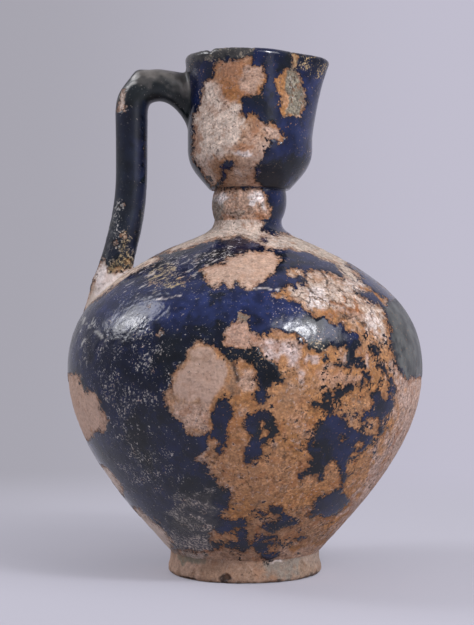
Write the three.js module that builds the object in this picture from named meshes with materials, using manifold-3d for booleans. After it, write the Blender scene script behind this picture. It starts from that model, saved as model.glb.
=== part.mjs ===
// A glazed stonepaste ewer: a round belly on a ring foot, a narrow collared neck, a cup mouth with a
// pulled pouring lip, and a kneed handle. It is built as a potter builds it: two body halves, a foot
// ring, a collar, a mouth cup and a handle, each luted to its neighbour with a layer of slip.
// Millimetres, +Z up. The origin is the centre of the circle that the foot stands on, +X points to
// the pouring lip and -X to the handle.
import * as THREE from "three";
import { mergeVertices } from "three/addons/utils/BufferGeometryUtils.js";
import Module from "manifold-3d";

const wasm = await Module();
wasm.setup();

// Foot ring
const FOOT_RADIUS = 31.2; // widest radius, just above the floor
const FOOT_WAIST = 30.3; // radius where the foot meets the body
const FOOT_HEIGHT = 8.0; // standing face to the top of the ring
const FOOT_WALL = 7.5; // thickness of the ring at its top
const FOOT_EDGE = 1.6; // rounding under the outer edge
const FOOT_BEVEL = 1.2; // bevel under the inner edge

// Body halves
const BODY_WALL = 5.0; // wall of both halves
const FLOOR = 6.0; // thickness of the vessel's floor
const FLOOR_ROUND = 6.0; // size of the rounded corner between floor and wall, inside
const BELLY_RADIUS = 71.7; // widest radius
const BELLY_Z = 82.0; // height of the widest circle, where the halves meet
const LOWER_SLOPE = 47.6; // degrees above level at which the lower wall leaves the foot
const LOWER_PULL = 34.0; // how far the lower wall holds that slope
const BELLY_PULL_DOWN = 26.0; // how far below the belly the wall stays upright
const BELLY_PULL_UP = 23.5; // how far above the belly the wall stays upright
const SHOULDER_RADIUS = 32.0; // where the dome turns into the fillet under the neck
const SHOULDER_Z = 130.6; // height of that circle
const SHOULDER_SLOPE = 27.5; // degrees below level at which the dome falls away there
const SHOULDER_PULL = 29.0; // how far the dome holds that slope
const FILLET_PULL = 11.0; // how far the fillet holds it
const NECK_RADIUS = 13.8; // outer radius of the body's neck stub
const NECK_Z = 142.2; // top of the neck stub
const NECK_RISE = 5.2; // how far the neck stub rises straight

// Collar and bore
const BORE_RADIUS = 9.6; // clear way through neck, collar and cup base
const COLLAR_HEIGHT = 11.4;
const COLLAR_BULGE = 1.25; // how far the collar swells past its ends

// Mouth cup
const CUP_WAIST = 14.6; // outer radius where the cup sits on the collar
const CUP_RADIUS = 25.2; // outer radius of the cup's wall
const CUP_HEIGHT = 53.4; // cup base to rim
const CUP_TURN = 16.5; // height above its base where the cone has become the wall
const CUP_CONE_PULL = 5.0; // how far the cone holds its slope above the base
const CUP_CONE_SLOPE = 40; // degrees above level of the cone
const CUP_ROUND_PULL = 8.0; // how far below the turn the wall stays upright
const CUP_WALL = 3.8; // wall of the cup
const RIM_FLARE = 1.0; // how far the rim turns out
const LIP_REACH = 6.0; // how far the pouring lip is pulled past the rim
const LIP_START = 33.0; // depth below the rim at which the pull begins
const LIP_CURVE = 1.25; // power of the pull's growth towards the rim: 1 is straight, more is hollow
const LIP_SPREAD = 25; // half width of the lip, degrees of arc
const LIP_PINCH = 1.3; // how far the flanks beside the lip are pressed in
const LIP_PINCH_AT = 47; // where the flanks are pressed in, degrees from the lip
const LIP_PINCH_SPREAD = 17.5; // half width of each pressed flank, degrees of arc
const RIM_TILT = 1.9; // degrees by which the rim falls towards the lip

// Handle
const HANDLE_REACH = 46.2; // axis of the grip from the vessel's axis
const HANDLE_WIDTH = 12.7; // seen from the side
const HANDLE_DEPTH = 13.6; // seen from behind
const ARM_DEPTH = 10.9; // rim down to the axis of the arm's level part
const KNEE_BEND = 12.0; // length of the bend on each side of the knee
const ARM_SAG = 6.0; // how far the arm has sagged where it meets the cup
const ARM_SAG_LENGTH = 12.5; // length over which it sags
const ARM_FLARE = 4.2; // how far the arm widens, above and below, at the cup
const ARM_FLARE_LENGTH = 11.0; // length over which it widens
const GRIP_TURN = 6.8; // height above the neck stub at which the grip turns outwards
const GRIP_BEND = 14.0; // length of the bend on each side of that turn
const ROOT_RADIUS = 54.5; // where the handle's axis meets the shoulder
const ROOT_EMBED = 16.0; // length of the handle's blank past that point, before it is cut to the shoulder
const ROOT_FLARE = 1.6; // how far the root widens on the shoulder
const ROOT_FLARE_LENGTH = 16; // length over which it widens

// Joints
const SLIP = 0.8; // thickness of a layer of luting slip
const SLIP_BEAD = 2.2; // radius of the slip squeezed out inside the belly seam
const SLIP_MARGIN = 1.0; // how far slip shows round the handle's ends
const FIT_GAP = 0.3; // gap between a curved joint face and its slip

// The neck stands a little off the body's axis, towards the lip
const NECK_LEAN = 2.0;
const LEAN_FROM_Z = 124.0;
const LEAN_TO_Z = 160.0;

// Facets
const TURN_STEPS = 44;
const CURVE_STEPS = 8;
const INNER_STEPS = 6;
const ROUND_STEPS = 4;
const HANDLE_STEPS = 52;
const HANDLE_SIDES = 16;

// Heights that follow from the sizes above
const BASE_Z = FOOT_HEIGHT + SLIP;
const COLLAR_Z = NECK_Z + SLIP;
const CUP_Z = COLLAR_Z + COLLAR_HEIGHT + SLIP;
const RIM_Z = CUP_Z + CUP_HEIGHT;

// Where the leaning cup's wall stands on the handle's side
const CUP_WALL_X = NECK_LEAN - CUP_RADIUS;

const radians = THREE.MathUtils.degToRad;
const point = (r, z) => new THREE.Vector2(r, z);

// The point a given distance from another, at an angle above level.
function reach(from, distance, degrees) {
  const angle = radians(degrees);
  return point(from.x + distance * Math.cos(angle), from.y + distance * Math.sin(angle));
}

// A curve that leaves its start towards one pull and reaches its end from the other.
function bezier(start, pullStart, pullEnd, end) {
  return new THREE.CubicBezierCurve(start, pullStart, pullEnd, end);
}

// Points along a row of curves, moved sideways: to the left of travel by a positive shift.
function trace(curves, shift = 0, steps = CURVE_STEPS) {
  return curves.flatMap((curve, i) => {
    const along = (t) => {
      if (t === 0) return curve.v1.clone().sub(curve.v0).normalize();
      if (t === 1) return curve.v3.clone().sub(curve.v2).normalize();
      return curve.getTangent(t);
    };
    const points = Array.from({ length: steps + 1 }, (_, k) => {
      const p = curve.getPoint(k / steps);
      const way = along(k / steps);
      return point(p.x - way.y * shift, p.y + way.x * shift);
    });
    return i > 0 ? points.slice(1) : points;
  });
}

// Points on an arc about a centre, from one angle above level to another.
function arc(centre, radius, fromDegrees, toDegrees) {
  return Array.from({ length: ROUND_STEPS + 1 }, (_, i) => {
    const degrees = fromDegrees + ((toDegrees - fromDegrees) * i) / ROUND_STEPS;
    return reach(centre, radius, degrees);
  });
}

// Keeps positions only, with shared vertices merged, so that the surface is closed.
function closed(geometry) {
  geometry.deleteAttribute("normal");
  geometry.deleteAttribute("uv");
  return mergeVertices(geometry, 1e-4);
}

// A solid of revolution about +Z. The outline runs anticlockwise in the (radius, height) plane.
function revolve(outline) {
  const loop = outline[0].x > 0 ? [...outline, outline[0]] : outline;
  return closed(new THREE.LatheGeometry(loop, TURN_STEPS).rotateX(Math.PI / 2));
}

// Moves each vertex of a geometry.
function deform(geometry, move) {
  const positions = geometry.getAttribute("position");
  const v = new THREE.Vector3();
  for (let i = 0; i < positions.count; i++) {
    move(v.fromBufferAttribute(positions, i));
    positions.setXYZ(i, v.x, v.y, v.z);
  }
  return geometry;
}

// The lean of the neck: level circles stay level and move towards the lip.
function lean(geometry) {
  return deform(geometry, (v) => {
    v.x += NECK_LEAN * THREE.MathUtils.smoothstep(v.z, LEAN_FROM_Z, LEAN_TO_Z);
  });
}

function toSolid(geometry) {
  return new wasm.Manifold(
    new wasm.Mesh({
      numProp: 3,
      vertProperties: geometry.getAttribute("position").array,
      triVerts: new Uint32Array(geometry.index.array),
    }),
  );
}

function toGeometry(solid) {
  const mesh = solid.getMesh();
  return new THREE.BufferGeometry()
    .setAttribute("position", new THREE.BufferAttribute(mesh.vertProperties, 3))
    .setIndex(new THREE.BufferAttribute(mesh.triVerts, 1));
}

// Outer lines of the body, from the foot up to the belly and from the belly up to the neck
function lowerLine(top) {
  const start = point(FOOT_WAIST, BASE_Z);
  const end = point(BELLY_RADIUS, top);
  return [bezier(start, reach(start, LOWER_PULL, LOWER_SLOPE), point(end.x, end.y - BELLY_PULL_DOWN), end)];
}

function upperLine(bottom) {
  const belly = point(BELLY_RADIUS, bottom);
  const shoulder = point(SHOULDER_RADIUS, SHOULDER_Z);
  const neck = point(NECK_RADIUS, NECK_Z);
  const dome = bezier(
    belly,
    point(belly.x, belly.y + BELLY_PULL_UP),
    reach(shoulder, SHOULDER_PULL, -SHOULDER_SLOPE),
    shoulder,
  );
  const fillet = bezier(
    shoulder,
    reach(shoulder, FILLET_PULL, 180 - SHOULDER_SLOPE),
    point(neck.x, neck.y - NECK_RISE),
    neck,
  );
  return [dome, fillet];
}

// Foot ring: a turned ring, waisted under the body and rounded where it stands
function footRing() {
  const inner = FOOT_WAIST - FOOT_WALL;
  const edge = point(FOOT_RADIUS - FOOT_EDGE, FOOT_EDGE);
  const waist = bezier(
    point(FOOT_RADIUS, FOOT_EDGE),
    point(FOOT_RADIUS, FOOT_HEIGHT / 2),
    point(FOOT_WAIST, FOOT_HEIGHT / 2),
    point(FOOT_WAIST, FOOT_HEIGHT),
  );
  return revolve([
    point(inner + FOOT_BEVEL, 0),
    ...arc(edge, FOOT_EDGE, -90, 0),
    ...trace([waist], 0, ROUND_STEPS).slice(1),
    point(inner, FOOT_HEIGHT),
    point(inner, FOOT_BEVEL),
  ]);
}

// Lower half: a bowl with a flat floor
function lowerBody() {
  const line = lowerLine(BELLY_Z - SLIP / 2);
  const floorTop = BASE_Z + FLOOR;
  const inner = trace(line, BODY_WALL, INNER_STEPS).filter((p) => p.y > floorTop + FLOOR_ROUND);
  const [side, above] = inner;
  const edge = point(side.x - FLOOR_ROUND * 2, floorTop);
  const downWall = side.clone().sub(above).setLength(FLOOR_ROUND);
  const corner = bezier(edge, point(edge.x + FLOOR_ROUND, edge.y), side.clone().add(downWall), side);
  const floor = [point(0, floorTop), ...trace([corner], 0, ROUND_STEPS).slice(0, -1)];
  return revolve([point(0, BASE_Z), ...trace(line), ...[...floor, ...inner].reverse()]);
}

// Upper half: a dome that turns up into the neck
function upperBody() {
  const line = upperLine(BELLY_Z + SLIP / 2);
  const inside = trace(line, BODY_WALL, INNER_STEPS).filter((p) => p.x > BORE_RADIUS + BODY_WALL);
  const bore = [point(BORE_RADIUS, inside.at(-1).y + BODY_WALL / 2), point(BORE_RADIUS, NECK_Z)];
  return lean(revolve([...trace(line), ...[...inside, ...bore].reverse()]));
}

// Collar: a short tube with a soft swelling
function neckCollar() {
  const top = COLLAR_Z + COLLAR_HEIGHT;
  // The curve swells three quarters of the way to its pulls
  const bulge = NECK_RADIUS + (COLLAR_BULGE * 4) / 3;
  const side = bezier(
    point(NECK_RADIUS, COLLAR_Z),
    point(bulge, COLLAR_Z + COLLAR_HEIGHT / 3),
    point(bulge, top - COLLAR_HEIGHT / 3),
    point(CUP_WAIST, top),
  );
  return lean(revolve([...trace([side]), point(BORE_RADIUS, top), point(BORE_RADIUS, COLLAR_Z)]));
}

// Outer line of the cup, from its base to its rim
function cupLine() {
  const base = point(CUP_WAIST, CUP_Z);
  const turn = point(CUP_RADIUS, CUP_Z + CUP_TURN);
  const rim = point(CUP_RADIUS + RIM_FLARE, RIM_Z - CUP_WALL / 2);
  const wall = (rim.y - turn.y) / 2;
  return [
    bezier(base, reach(base, CUP_CONE_PULL, CUP_CONE_SLOPE), point(turn.x, turn.y - CUP_ROUND_PULL), turn),
    bezier(turn, point(turn.x, turn.y + wall), point(turn.x, rim.y - wall / 2), rim),
  ];
}

// The potter's pull: the rim is drawn out to a lip, the flanks are pressed in and the rim tilts.
function pullLip(geometry) {
  const tilt = Math.tan(radians(RIM_TILT));
  const bell = (degrees, spread) => Math.exp(-((degrees / spread) ** 2));
  return deform(geometry, (v) => {
    const pull = Math.max(0, 1 - (RIM_Z - v.z) / LIP_START) ** LIP_CURVE;
    const radius = Math.hypot(v.x, v.y);
    if (radius === 0) return;
    const away = Math.abs(THREE.MathUtils.radToDeg(Math.atan2(v.y, v.x)));
    const lip = LIP_REACH * bell(away, LIP_SPREAD);
    const pinch = LIP_PINCH * bell(away - LIP_PINCH_AT, LIP_PINCH_SPREAD);
    const share = radius / CUP_RADIUS;
    const grown = radius + pull * share * (lip - pinch);
    v.z -= pull * tilt * v.x;
    v.x *= grown / radius;
    v.y *= grown / radius;
  });
}

// Mouth cup: thrown round, then pulled to a lip
function mouthCup() {
  const outer = trace(cupLine());
  const rim = point(outer.at(-1).x - CUP_WALL / 2, RIM_Z - CUP_WALL / 2);
  const well = [point(BORE_RADIUS, CUP_Z + CUP_WALL / 2), point(BORE_RADIUS, CUP_Z)];
  const inner = trace(cupLine(), CUP_WALL, INNER_STEPS).filter(
    (p) => p.x > BORE_RADIUS && p.y > well[0].y && p.y < rim.y - CUP_WALL,
  );
  const lip = arc(rim, CUP_WALL / 2, 0, 180);
  return lean(pullLip(revolve([...outer.slice(0, -1), ...lip, ...inner.reverse(), ...well])));
}

// A ring of slip between two level joint faces, outer and inner radius given.
function slipRing(outer, inner, bottom) {
  const top = bottom + SLIP;
  return lean(revolve([point(outer, bottom), point(outer, top), point(inner, top), point(inner, bottom)]));
}

// The belly's slip: a layer between the halves with a bead squeezed out inside
function bellySlip() {
  const bottom = BELLY_Z - SLIP / 2;
  const inner = BELLY_RADIUS - BODY_WALL - FIT_GAP;
  const bead = arc(point(inner, BELLY_Z), SLIP_BEAD, 90, 270);
  return revolve([
    point(BELLY_RADIUS, bottom),
    point(BELLY_RADIUS, bottom + SLIP),
    point(inner, bottom + SLIP),
    ...bead,
    point(inner, bottom),
  ]);
}

// Height of the shoulder's outer line at a radius
function shoulderHeight(radius) {
  const line = trace(upperLine(BELLY_Z));
  const i = line.findIndex((p) => p.x < radius);
  const share = (line[i - 1].x - radius) / (line[i - 1].x - line[i].x);
  return THREE.MathUtils.lerp(line[i - 1].y, line[i].y, share);
}

// The handle's axis, in the plane of the lip: from inside the cup, over the knee, down to the shoulder
function handleAxis() {
  const at = (x, z) => new THREE.Vector3(x, 0, z);
  const toward = (from, to, distance) => from.clone().add(to.clone().sub(from).setLength(distance));
  const knee = at(-HANDLE_REACH, RIM_Z - ARM_DEPTH);
  const armEnd = at(CUP_WALL_X + CUP_WALL * 2, knee.z);
  const gripFoot = at(-HANDLE_REACH, NECK_Z + GRIP_TURN);
  const root = at(-ROOT_RADIUS, shoulderHeight(ROOT_RADIUS));
  const rootEnd = toward(root, gripFoot, -ROOT_EMBED);
  const stops = [armEnd, knee, gripFoot, rootEnd];
  const bends = [0, KNEE_BEND, GRIP_BEND, 0];
  const axis = new THREE.CurvePath();
  for (let i = 0; i + 1 < stops.length; i++) {
    const leave = toward(stops[i], stops[i + 1], bends[i]);
    const arrive = toward(stops[i + 1], stops[i], bends[i + 1]);
    if (i > 0) {
      const enter = toward(stops[i], stops[i - 1], bends[i]);
      axis.add(new THREE.QuadraticBezierCurve3(enter, stops[i], leave));
    }
    axis.add(new THREE.LineCurve3(leave, arrive));
  }
  return axis;
}

// A blank for the handle: an oval section swept along the axis, wider at both ends.
function handleBlank(margin = 0) {
  const axis = handleAxis();
  const length = axis.getLength();
  const ease = (amount, distance, over) => amount * THREE.MathUtils.clamp(1 - distance / over, 0, 1) ** 2;
  const rings = Array.from({ length: HANDLE_STEPS + 1 }, (_, i) => {
    const u = i / HANDLE_STEPS;
    const centre = axis.getPointAt(u);
    const along = axis.getTangentAt(u);
    const across = new THREE.Vector3(-along.z, 0, along.x);
    const toCup = CUP_WALL_X - centre.x;
    const toRoot = (1 - u) * length - ROOT_EMBED;
    const armFlare = ease(ARM_FLARE, toCup, ARM_FLARE_LENGTH);
    const rootFlare = ease(ROOT_FLARE, toRoot, ROOT_FLARE_LENGTH);
    centre.z -= ease(ARM_SAG, toCup, ARM_SAG_LENGTH);
    const halfWidth = HANDLE_WIDTH / 2 + armFlare + rootFlare + margin;
    const halfDepth = HANDLE_DEPTH / 2 + rootFlare + margin;
    return Array.from({ length: HANDLE_SIDES }, (__, k) => {
      const angle = (2 * Math.PI * k) / HANDLE_SIDES;
      const out = new THREE.Vector3(0, halfDepth * Math.sin(angle), 0);
      return out.add(centre).addScaledVector(across, halfWidth * Math.cos(angle));
    });
  });
  return loft(rings);
}

// A closed solid through a row of rings of equal count, capped at both ends.
function loft(rings) {
  const sides = rings[0].length;
  const index = [];
  const quad = (a, b, c, d) => index.push(a, b, c, a, c, d);
  for (let i = 0; i + 1 < rings.length; i++)
    for (let k = 0; k < sides; k++) {
      const next = (k + 1) % sides;
      quad(i * sides + k, (i + 1) * sides + k, (i + 1) * sides + next, i * sides + next);
    }
  const last = (rings.length - 1) * sides;
  for (let k = 1; k + 1 < sides; k++) {
    index.push(0, k, k + 1);
    index.push(last, last + k + 1, last + k);
  }
  return new THREE.BufferGeometry().setFromPoints(rings.flat()).setIndex(index);
}

// The cup and the shoulder as filled solids, grown outwards, to cut what is luted onto them
function grownCup(distance) {
  const line = trace(cupLine(), -distance);
  return toSolid(lean(pullLip(revolve([point(0, line[0].y), ...line, point(0, line.at(-1).y)]))));
}

function grownShoulder(distance) {
  const line = trace(upperLine(BELLY_Z), -distance);
  return toSolid(lean(revolve([point(0, line[0].y), ...line, point(0, line.at(-1).y)])));
}

const HANDLE_CLEARANCE = FIT_GAP + SLIP + FIT_GAP;

function handle() {
  const blank = toSolid(handleBlank());
  return toGeometry(blank.subtract(grownCup(HANDLE_CLEARANCE)).subtract(grownShoulder(HANDLE_CLEARANCE)));
}

// A pad of slip under one end of the handle, following the surface that it is luted to.
function slipPad(grown) {
  const layer = grown(FIT_GAP + SLIP).subtract(grown(FIT_GAP));
  return toGeometry(toSolid(handleBlank(SLIP_MARGIN)).intersect(layer));
}

// Finishes: dark cobalt glaze, the bare fired body and the paler slip
const GLAZE = { color: 0x1e2340, roughness: 0.22, metalness: 0 };
const BARE_BODY = { color: 0xb98a66, roughness: 0.85, metalness: 0 };
const PALE_SLIP = { color: 0xc9b39c, roughness: 0.9, metalness: 0 };

function piece(name, geometry, finish) {
  const mesh = new THREE.Mesh(geometry, new THREE.MeshStandardMaterial(finish));
  mesh.name = name;
  return mesh;
}

const ewer = new THREE.Group();
ewer.add(
  piece("foot_ring", footRing(), BARE_BODY),
  piece("foot_slip", slipRing(FOOT_WAIST, FOOT_WAIST - FOOT_WALL, FOOT_HEIGHT), PALE_SLIP),
  piece("lower_body", lowerBody(), GLAZE),
  piece("belly_slip", bellySlip(), PALE_SLIP),
  piece("upper_body", upperBody(), GLAZE),
  piece("neck_slip", slipRing(NECK_RADIUS, BORE_RADIUS, NECK_Z), PALE_SLIP),
  piece("neck_collar", neckCollar(), GLAZE),
  piece("cup_slip", slipRing(CUP_WAIST, BORE_RADIUS, CUP_Z - SLIP), PALE_SLIP),
  piece("mouth_cup", mouthCup(), GLAZE),
  piece("handle", handle(), GLAZE),
  piece("handle_cup_slip", slipPad(grownCup), PALE_SLIP),
  piece("handle_shoulder_slip", slipPad(grownShoulder), PALE_SLIP),
);

export default ewer;
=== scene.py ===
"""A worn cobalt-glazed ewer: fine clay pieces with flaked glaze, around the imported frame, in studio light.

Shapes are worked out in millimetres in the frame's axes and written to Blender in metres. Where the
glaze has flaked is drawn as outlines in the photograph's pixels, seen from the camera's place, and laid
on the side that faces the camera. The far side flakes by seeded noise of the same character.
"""
import math
from collections import namedtuple

import bpy
import numpy as np
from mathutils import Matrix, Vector


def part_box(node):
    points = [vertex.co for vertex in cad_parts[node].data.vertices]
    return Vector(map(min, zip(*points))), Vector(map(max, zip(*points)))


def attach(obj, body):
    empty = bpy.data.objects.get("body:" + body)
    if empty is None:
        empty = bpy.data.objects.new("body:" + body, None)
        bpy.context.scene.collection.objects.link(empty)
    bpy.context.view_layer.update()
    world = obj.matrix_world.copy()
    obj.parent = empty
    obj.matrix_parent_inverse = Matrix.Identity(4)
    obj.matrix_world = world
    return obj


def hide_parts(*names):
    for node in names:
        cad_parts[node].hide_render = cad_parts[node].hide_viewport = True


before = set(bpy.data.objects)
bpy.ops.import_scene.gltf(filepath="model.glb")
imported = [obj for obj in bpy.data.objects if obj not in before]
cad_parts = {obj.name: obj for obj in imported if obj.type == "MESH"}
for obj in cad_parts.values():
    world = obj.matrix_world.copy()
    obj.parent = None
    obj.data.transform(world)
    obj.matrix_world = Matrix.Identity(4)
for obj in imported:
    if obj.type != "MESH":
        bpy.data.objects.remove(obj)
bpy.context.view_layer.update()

MM = 0.001

# The photograph's frame and the place it was seen from, in pixels and millimetres
PHOTO_WIDTH = 474
PHOTO_HEIGHT = 625
PHOTO_MIDDLE = np.array([PHOTO_WIDTH, PHOTO_HEIGHT]) / 2
FOCAL_PX = 1471.7
CAMERA_AT = np.array([-3.26, -600.0, 105.1])
SENSOR = 36.0
PX = 0.4077  # size of one pixel on the ewer's axis


# Sizes read from the frame
def node_box(node):
    """Lowest and highest corner of a node, in millimetres."""
    low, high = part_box(node)
    return np.array(low) / MM, np.array(high) / MM


FOOT_RADIUS = node_box("foot_ring")[1][0]
FOOT_HEIGHT = node_box("foot_ring")[1][2]
FOOT_WAIST = node_box("foot_slip")[1][0]
BASE_Z = node_box("lower_body")[0][2]
BELLY_RADIUS = node_box("lower_body")[1][0]
BELLY_Z = (node_box("lower_body")[1][2] + node_box("upper_body")[0][2]) / 2
NECK_Z = node_box("upper_body")[1][2]
COLLAR_Z = node_box("neck_collar")[0][2]
COLLAR_TOP = node_box("neck_collar")[1][2]
CUP_Z = node_box("mouth_cup")[0][2]

# Sizes that shape the curves between them
FOOT_WALL = 7.5
FOOT_EDGE = 1.6
FOOT_BEVEL = 1.2
FOOT_CROWN = 0.3
FOOT_CROWN_IN = 1.0
BODY_WALL = 5.0
FLOOR = 6.0
FLOOR_TURN = 2.0
LOWER_SLOPE = 47.6
LOWER_PULL = 34.0
BELLY_PULL_DOWN = 26.0
BELLY_PULL_UP = 23.5
SHOULDER_RADIUS = 32.0
SHOULDER_Z = 130.6
SHOULDER_SLOPE = 27.5
SHOULDER_PULL = 29.0
FILLET_PULL = 11.0
NECK_RADIUS = 13.8
NECK_RISE = 5.2
BORE_RADIUS = 9.6
COLLAR_BULGE = 1.25
CUP_WAIST = 14.6
CUP_RADIUS = 25.2
CUP_HEIGHT = 53.4
CUP_TURN = 16.5
CUP_LEDGE = 1.6
CUP_CONE_PULL = 8.0
CUP_CONE_SLOPE = 48.5
CUP_ROUND_PULL = 7.5
CUP_WALL = 3.8
RIM_FLARE = 1.0
RIM_Z = CUP_Z + CUP_HEIGHT
LIP_REACH = 6.0
LIP_START = 33.0
LIP_CURVE = 1.25
LIP_SPREAD = 25.0
LIP_PINCH = 1.3
LIP_PINCH_AT = 47.0
LIP_PINCH_SPREAD = 17.5
RIM_TILT = 1.9
NECK_LEAN = 2.0
LEAN_FROM_Z = 124.0
LEAN_TO_Z = 160.0
HANDLE_REACH = 46.2
HANDLE_WIDTH = 12.7
HANDLE_DEPTH = 13.6
ARM_DEPTH = 10.9
KNEE_BEND = 12.0
ARM_SAG = 6.0
ARM_SAG_LENGTH = 12.5
ARM_FLARE = 4.2
ARM_FLARE_LENGTH = 11.0
GRIP_TURN = 6.8
GRIP_BEND = 14.0
ROOT_RADIUS = 54.5
ROOT_EMBED = 16.0
ROOT_FLARE = 1.6
ROOT_FLARE_LENGTH = 16.0

# Fineness of the meshes
BODY_COLUMNS = 600
BODY_ROW = 0.8
CUP_COLUMNS = 320
CUP_ROW = 0.55
COLLAR_COLUMNS = 260
COLLAR_ROW = 0.45
FOOT_COLUMNS = 400
FOOT_ROW = 0.45
FOOT_TOP_ROW = 2.0
FOOT_UNDER_ROW = 1.2
FOOT_EDGE_STEPS = 10
RIM_STEPS = 24
RIM_INSIDE_ROWS = 4  # rows at the end of the rim that count as inside
HANDLE_SIDES = 96
HANDLE_RINGS = 300
HANDLE_STEPS = 900
BEND_STEPS = 40
FILLET_ROWS = 9
HIDDEN_ROW = 4.0
CURVE_STEPS = 80
OVAL_POINTS = 18
PACE_STEPS = 4  # steps for each column where columns are paced
FRONT_SHARE = 0.35  # how much denser the columns stand on the side seen first
SHARP_ANGLE = 50.0
LAYOUT_MARGIN = 0.02
FEEL = 0.05  # step to each side where a slope is measured
TINY = 1e-9

# Relief, in millimetres, with noise as size, octaves and seed
GLAZE_THICKNESS = 0.28
FLAKE_EDGE = 0.35
WAVES = 0.22
WAVE_NOISE = (34.0, 2, 21)
CLAY_GRAIN = 0.1
GRAIN_NOISE = (1.7, 2, 22)
PIT_GRAIN = 0.12
PIT_NOISE = (1.5, 2, 23)
JOINT_SINK = 0.4  # how far a joint face is sunk into its neighbour, out of sight
SLIP_RECESS = 0.05
RIDGE_RISE = 1.8
RIDGE_SPREAD = 3.2
FILLET_RISE = 2.4
FILLET_SPREAD = 2.2


def srgb(red, green, blue):
    """A colour written in 0 to 255, as linear light."""
    value = np.array([red, green, blue]) / 255
    return np.where(value <= 0.04045, value / 12.92, ((value + 0.055) / 1.055) ** 2.4)


# Fired clay
CLAY_ORANGE = srgb(175, 123, 75)
CLAY_TAN = srgb(192, 160, 140)
CLAY_PINK = srgb(188, 158, 140)
CLAY_PALE = srgb(204, 184, 170)
CLAY_WHITE = srgb(228, 216, 212)
CLAY_BROWN = srgb(152, 120, 96)
CLAY_RUST = srgb(158, 98, 54)
CLAY_EDGE = srgb(120, 74, 42)
CLAY_PORE = srgb(66, 48, 38)
CRUST_OLIVE = srgb(128, 120, 104)
CRUST_GREY = srgb(138, 130, 120)
# Dark soot for dabs and cracks, and also painted shade along the foot's lower edge
SOOT_AND_SHADE = srgb(52, 38, 32)
BAND_BEIGE = srgb(200, 184, 172)
CLAY_CREAM = srgb(218, 198, 182)
CLAY_ROSE = srgb(190, 152, 132)
CLAY_SAND = srgb(194, 178, 164)
CLAY_LILAC = srgb(206, 188, 184)

# Glaze
GLAZE_BLUE = srgb(21, 29, 60)
GLAZE_BRIGHT = srgb(36, 46, 88)
GLAZE_BLACK = srgb(16, 21, 29)
GLAZE_GREEN = srgb(26, 32, 34)
GLAZE_GREY = srgb(80, 82, 80)
# grey crust on worn glaze, also the painted sheen on the handle's arm
GLAZE_CRUST_AND_SHEEN = srgb(92, 88, 84)
SPECK_PALE = srgb(170, 168, 164)
SPECK_OCHRE = srgb(172, 150, 108)

# Noise in the shader: size in millimetres, detail and roughness
COARSE = (3.4, 3, 0.5)
FINE = (0.9, 4, 0.65)
CRUMBS = (1.2, 5, 0.6)
STROKES = (1.1, 5, 0.6)
CLAY_CLOUDS = (1.9, 5, 0.65)
SPECKS = (0.85, 4, 0.7)
BITS = (1.3, 6, 0.65)
SCUFFS = (2.4, 5, 0.5)
CRACK_WANDER = (4, 0.5)  # at half the size of a net
STROKE_SLANT = -0.5
STROKE_DRIFT = 0.22

# Spots in the shader: noise, the levels where they start and are full, and their values there
RUST_SPOTS = (5.5, 6, 0.6, 0.53, 0.64)
FLECKS = (1.6, 5, 0.65, 0.56, 0.59)
PORES = (1.5, 4, 0.65, 0.59, 0.606)
PORE_CLUSTERS = (9.0, 2, 0.5, 0.35, 0.65, 0.3, 1.0)
# pale dots on bare clay
PALE_DOTS = (1.3, 4, 0.7, 0.595, 0.625)
GLAZE_CLOUDS = (6.0, 5, 0.5, 0.3, 0.7, 0.55, 1.4)
SPECK_CLUSTERS = (6.0, 5, 0.5, 0.4, 0.6, 0.25, 1.0)
SPECK_TINTS = (1.4, 3, 0.7, 0.36, 0.64, 0.5, 1.4)
CRUMB_CLUSTERS = (5.0, 3, 0.5, 0.42, 0.6, 0.3, 1.0)

# Levels between which other patterns take effect, and their values there
MOTTLE_SPAN = (0.38, 0.62)
CRACK_PATCHES = (0.4, 0.56)
STREAK_SPAN = (0.54, 0.58)
STAIN_EDGE = (0.1, 1.6, 1.0, 0.0)
STAIN_PATCHES = (0.4, 0.6, 0.4, 1.0)
# a dark line on the clay right beside the glaze's edge
EDGE_LINE = (0.1, 0.7, 1.0, 0.0)
EDGE_LINE_PATCHES = (0.46, 0.54, 0.1, 1.0)
# painted shade: the glaze darkens towards its flaked edge
GLAZE_EDGE_SHADE = (-0.7, -0.1, 1.0, 0.4)
SPECK_LEVELS = (0.0, 1.0, 0.65, 0.5)
SPECK_SPAN = (0.0, 0.03)
SPECK_PATCHES = (0.3, 0.7, 0.6, 1.0)
DRAWN_SPAN = (0.55, 0.58)
DRAWN_STREAKS = (0.5, 0.8)
FLAKE_SPAN = (-0.1, 0.1)
BIT_SPAN = (0.68, 0.7, 1.0, 0.0)

# Swings and weights in the shader
MOTTLE = 0.16
STIPPLE = 0.3
LIGHT_SWING = 0.7
NOISE_MEAN = 0.5
EDGE_SWING = 1.8
EDGE_CRUMBS = 5.0
BIT_GAIN = 0.19
CRACK_CORE = 0.01
CRACK_NETS = {"fine_cracks": (4.2, 0.1), "wide_cracks": (9.0, 0.06)}  # size and width of each net

# Layers over plain clay, from the lowest up, each with its strength and colour
CLAY_LAYERS = {
    "rust": (0.4, CLAY_RUST),
    "flecks": (0.45, CLAY_EDGE),
    "fine_cracks": (0.85, CLAY_BROWN),
    "wide_cracks": (0.85, CLAY_PORE),
    "streaks": (0.75, CLAY_EDGE),
    "stain": (0.85, CLAY_EDGE),
    "edge_line": (0.8, CLAY_PORE),
    "pores": (0.8, CLAY_PORE),
    "pale_dots": (0.25, CLAY_WHITE),
}

# Gloss of the glaze and how its wear dulls it, and roughness of bare clay over its grain
GLAZE_IOR = 1.47
GLAZED_ROUGHNESS = 0.09
BARE_ROUGHNESS = 0.3
SLIP_ROUGHNESS = 0.2
MATT_ROUGHNESS = 0.3
PIT_ROUGHNESS = 0.2
SPECK_ROUGHNESS = 0.35
CLAY_ROUGHNESS = (0.2, 0.8, 0.78, 0.95)

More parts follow.
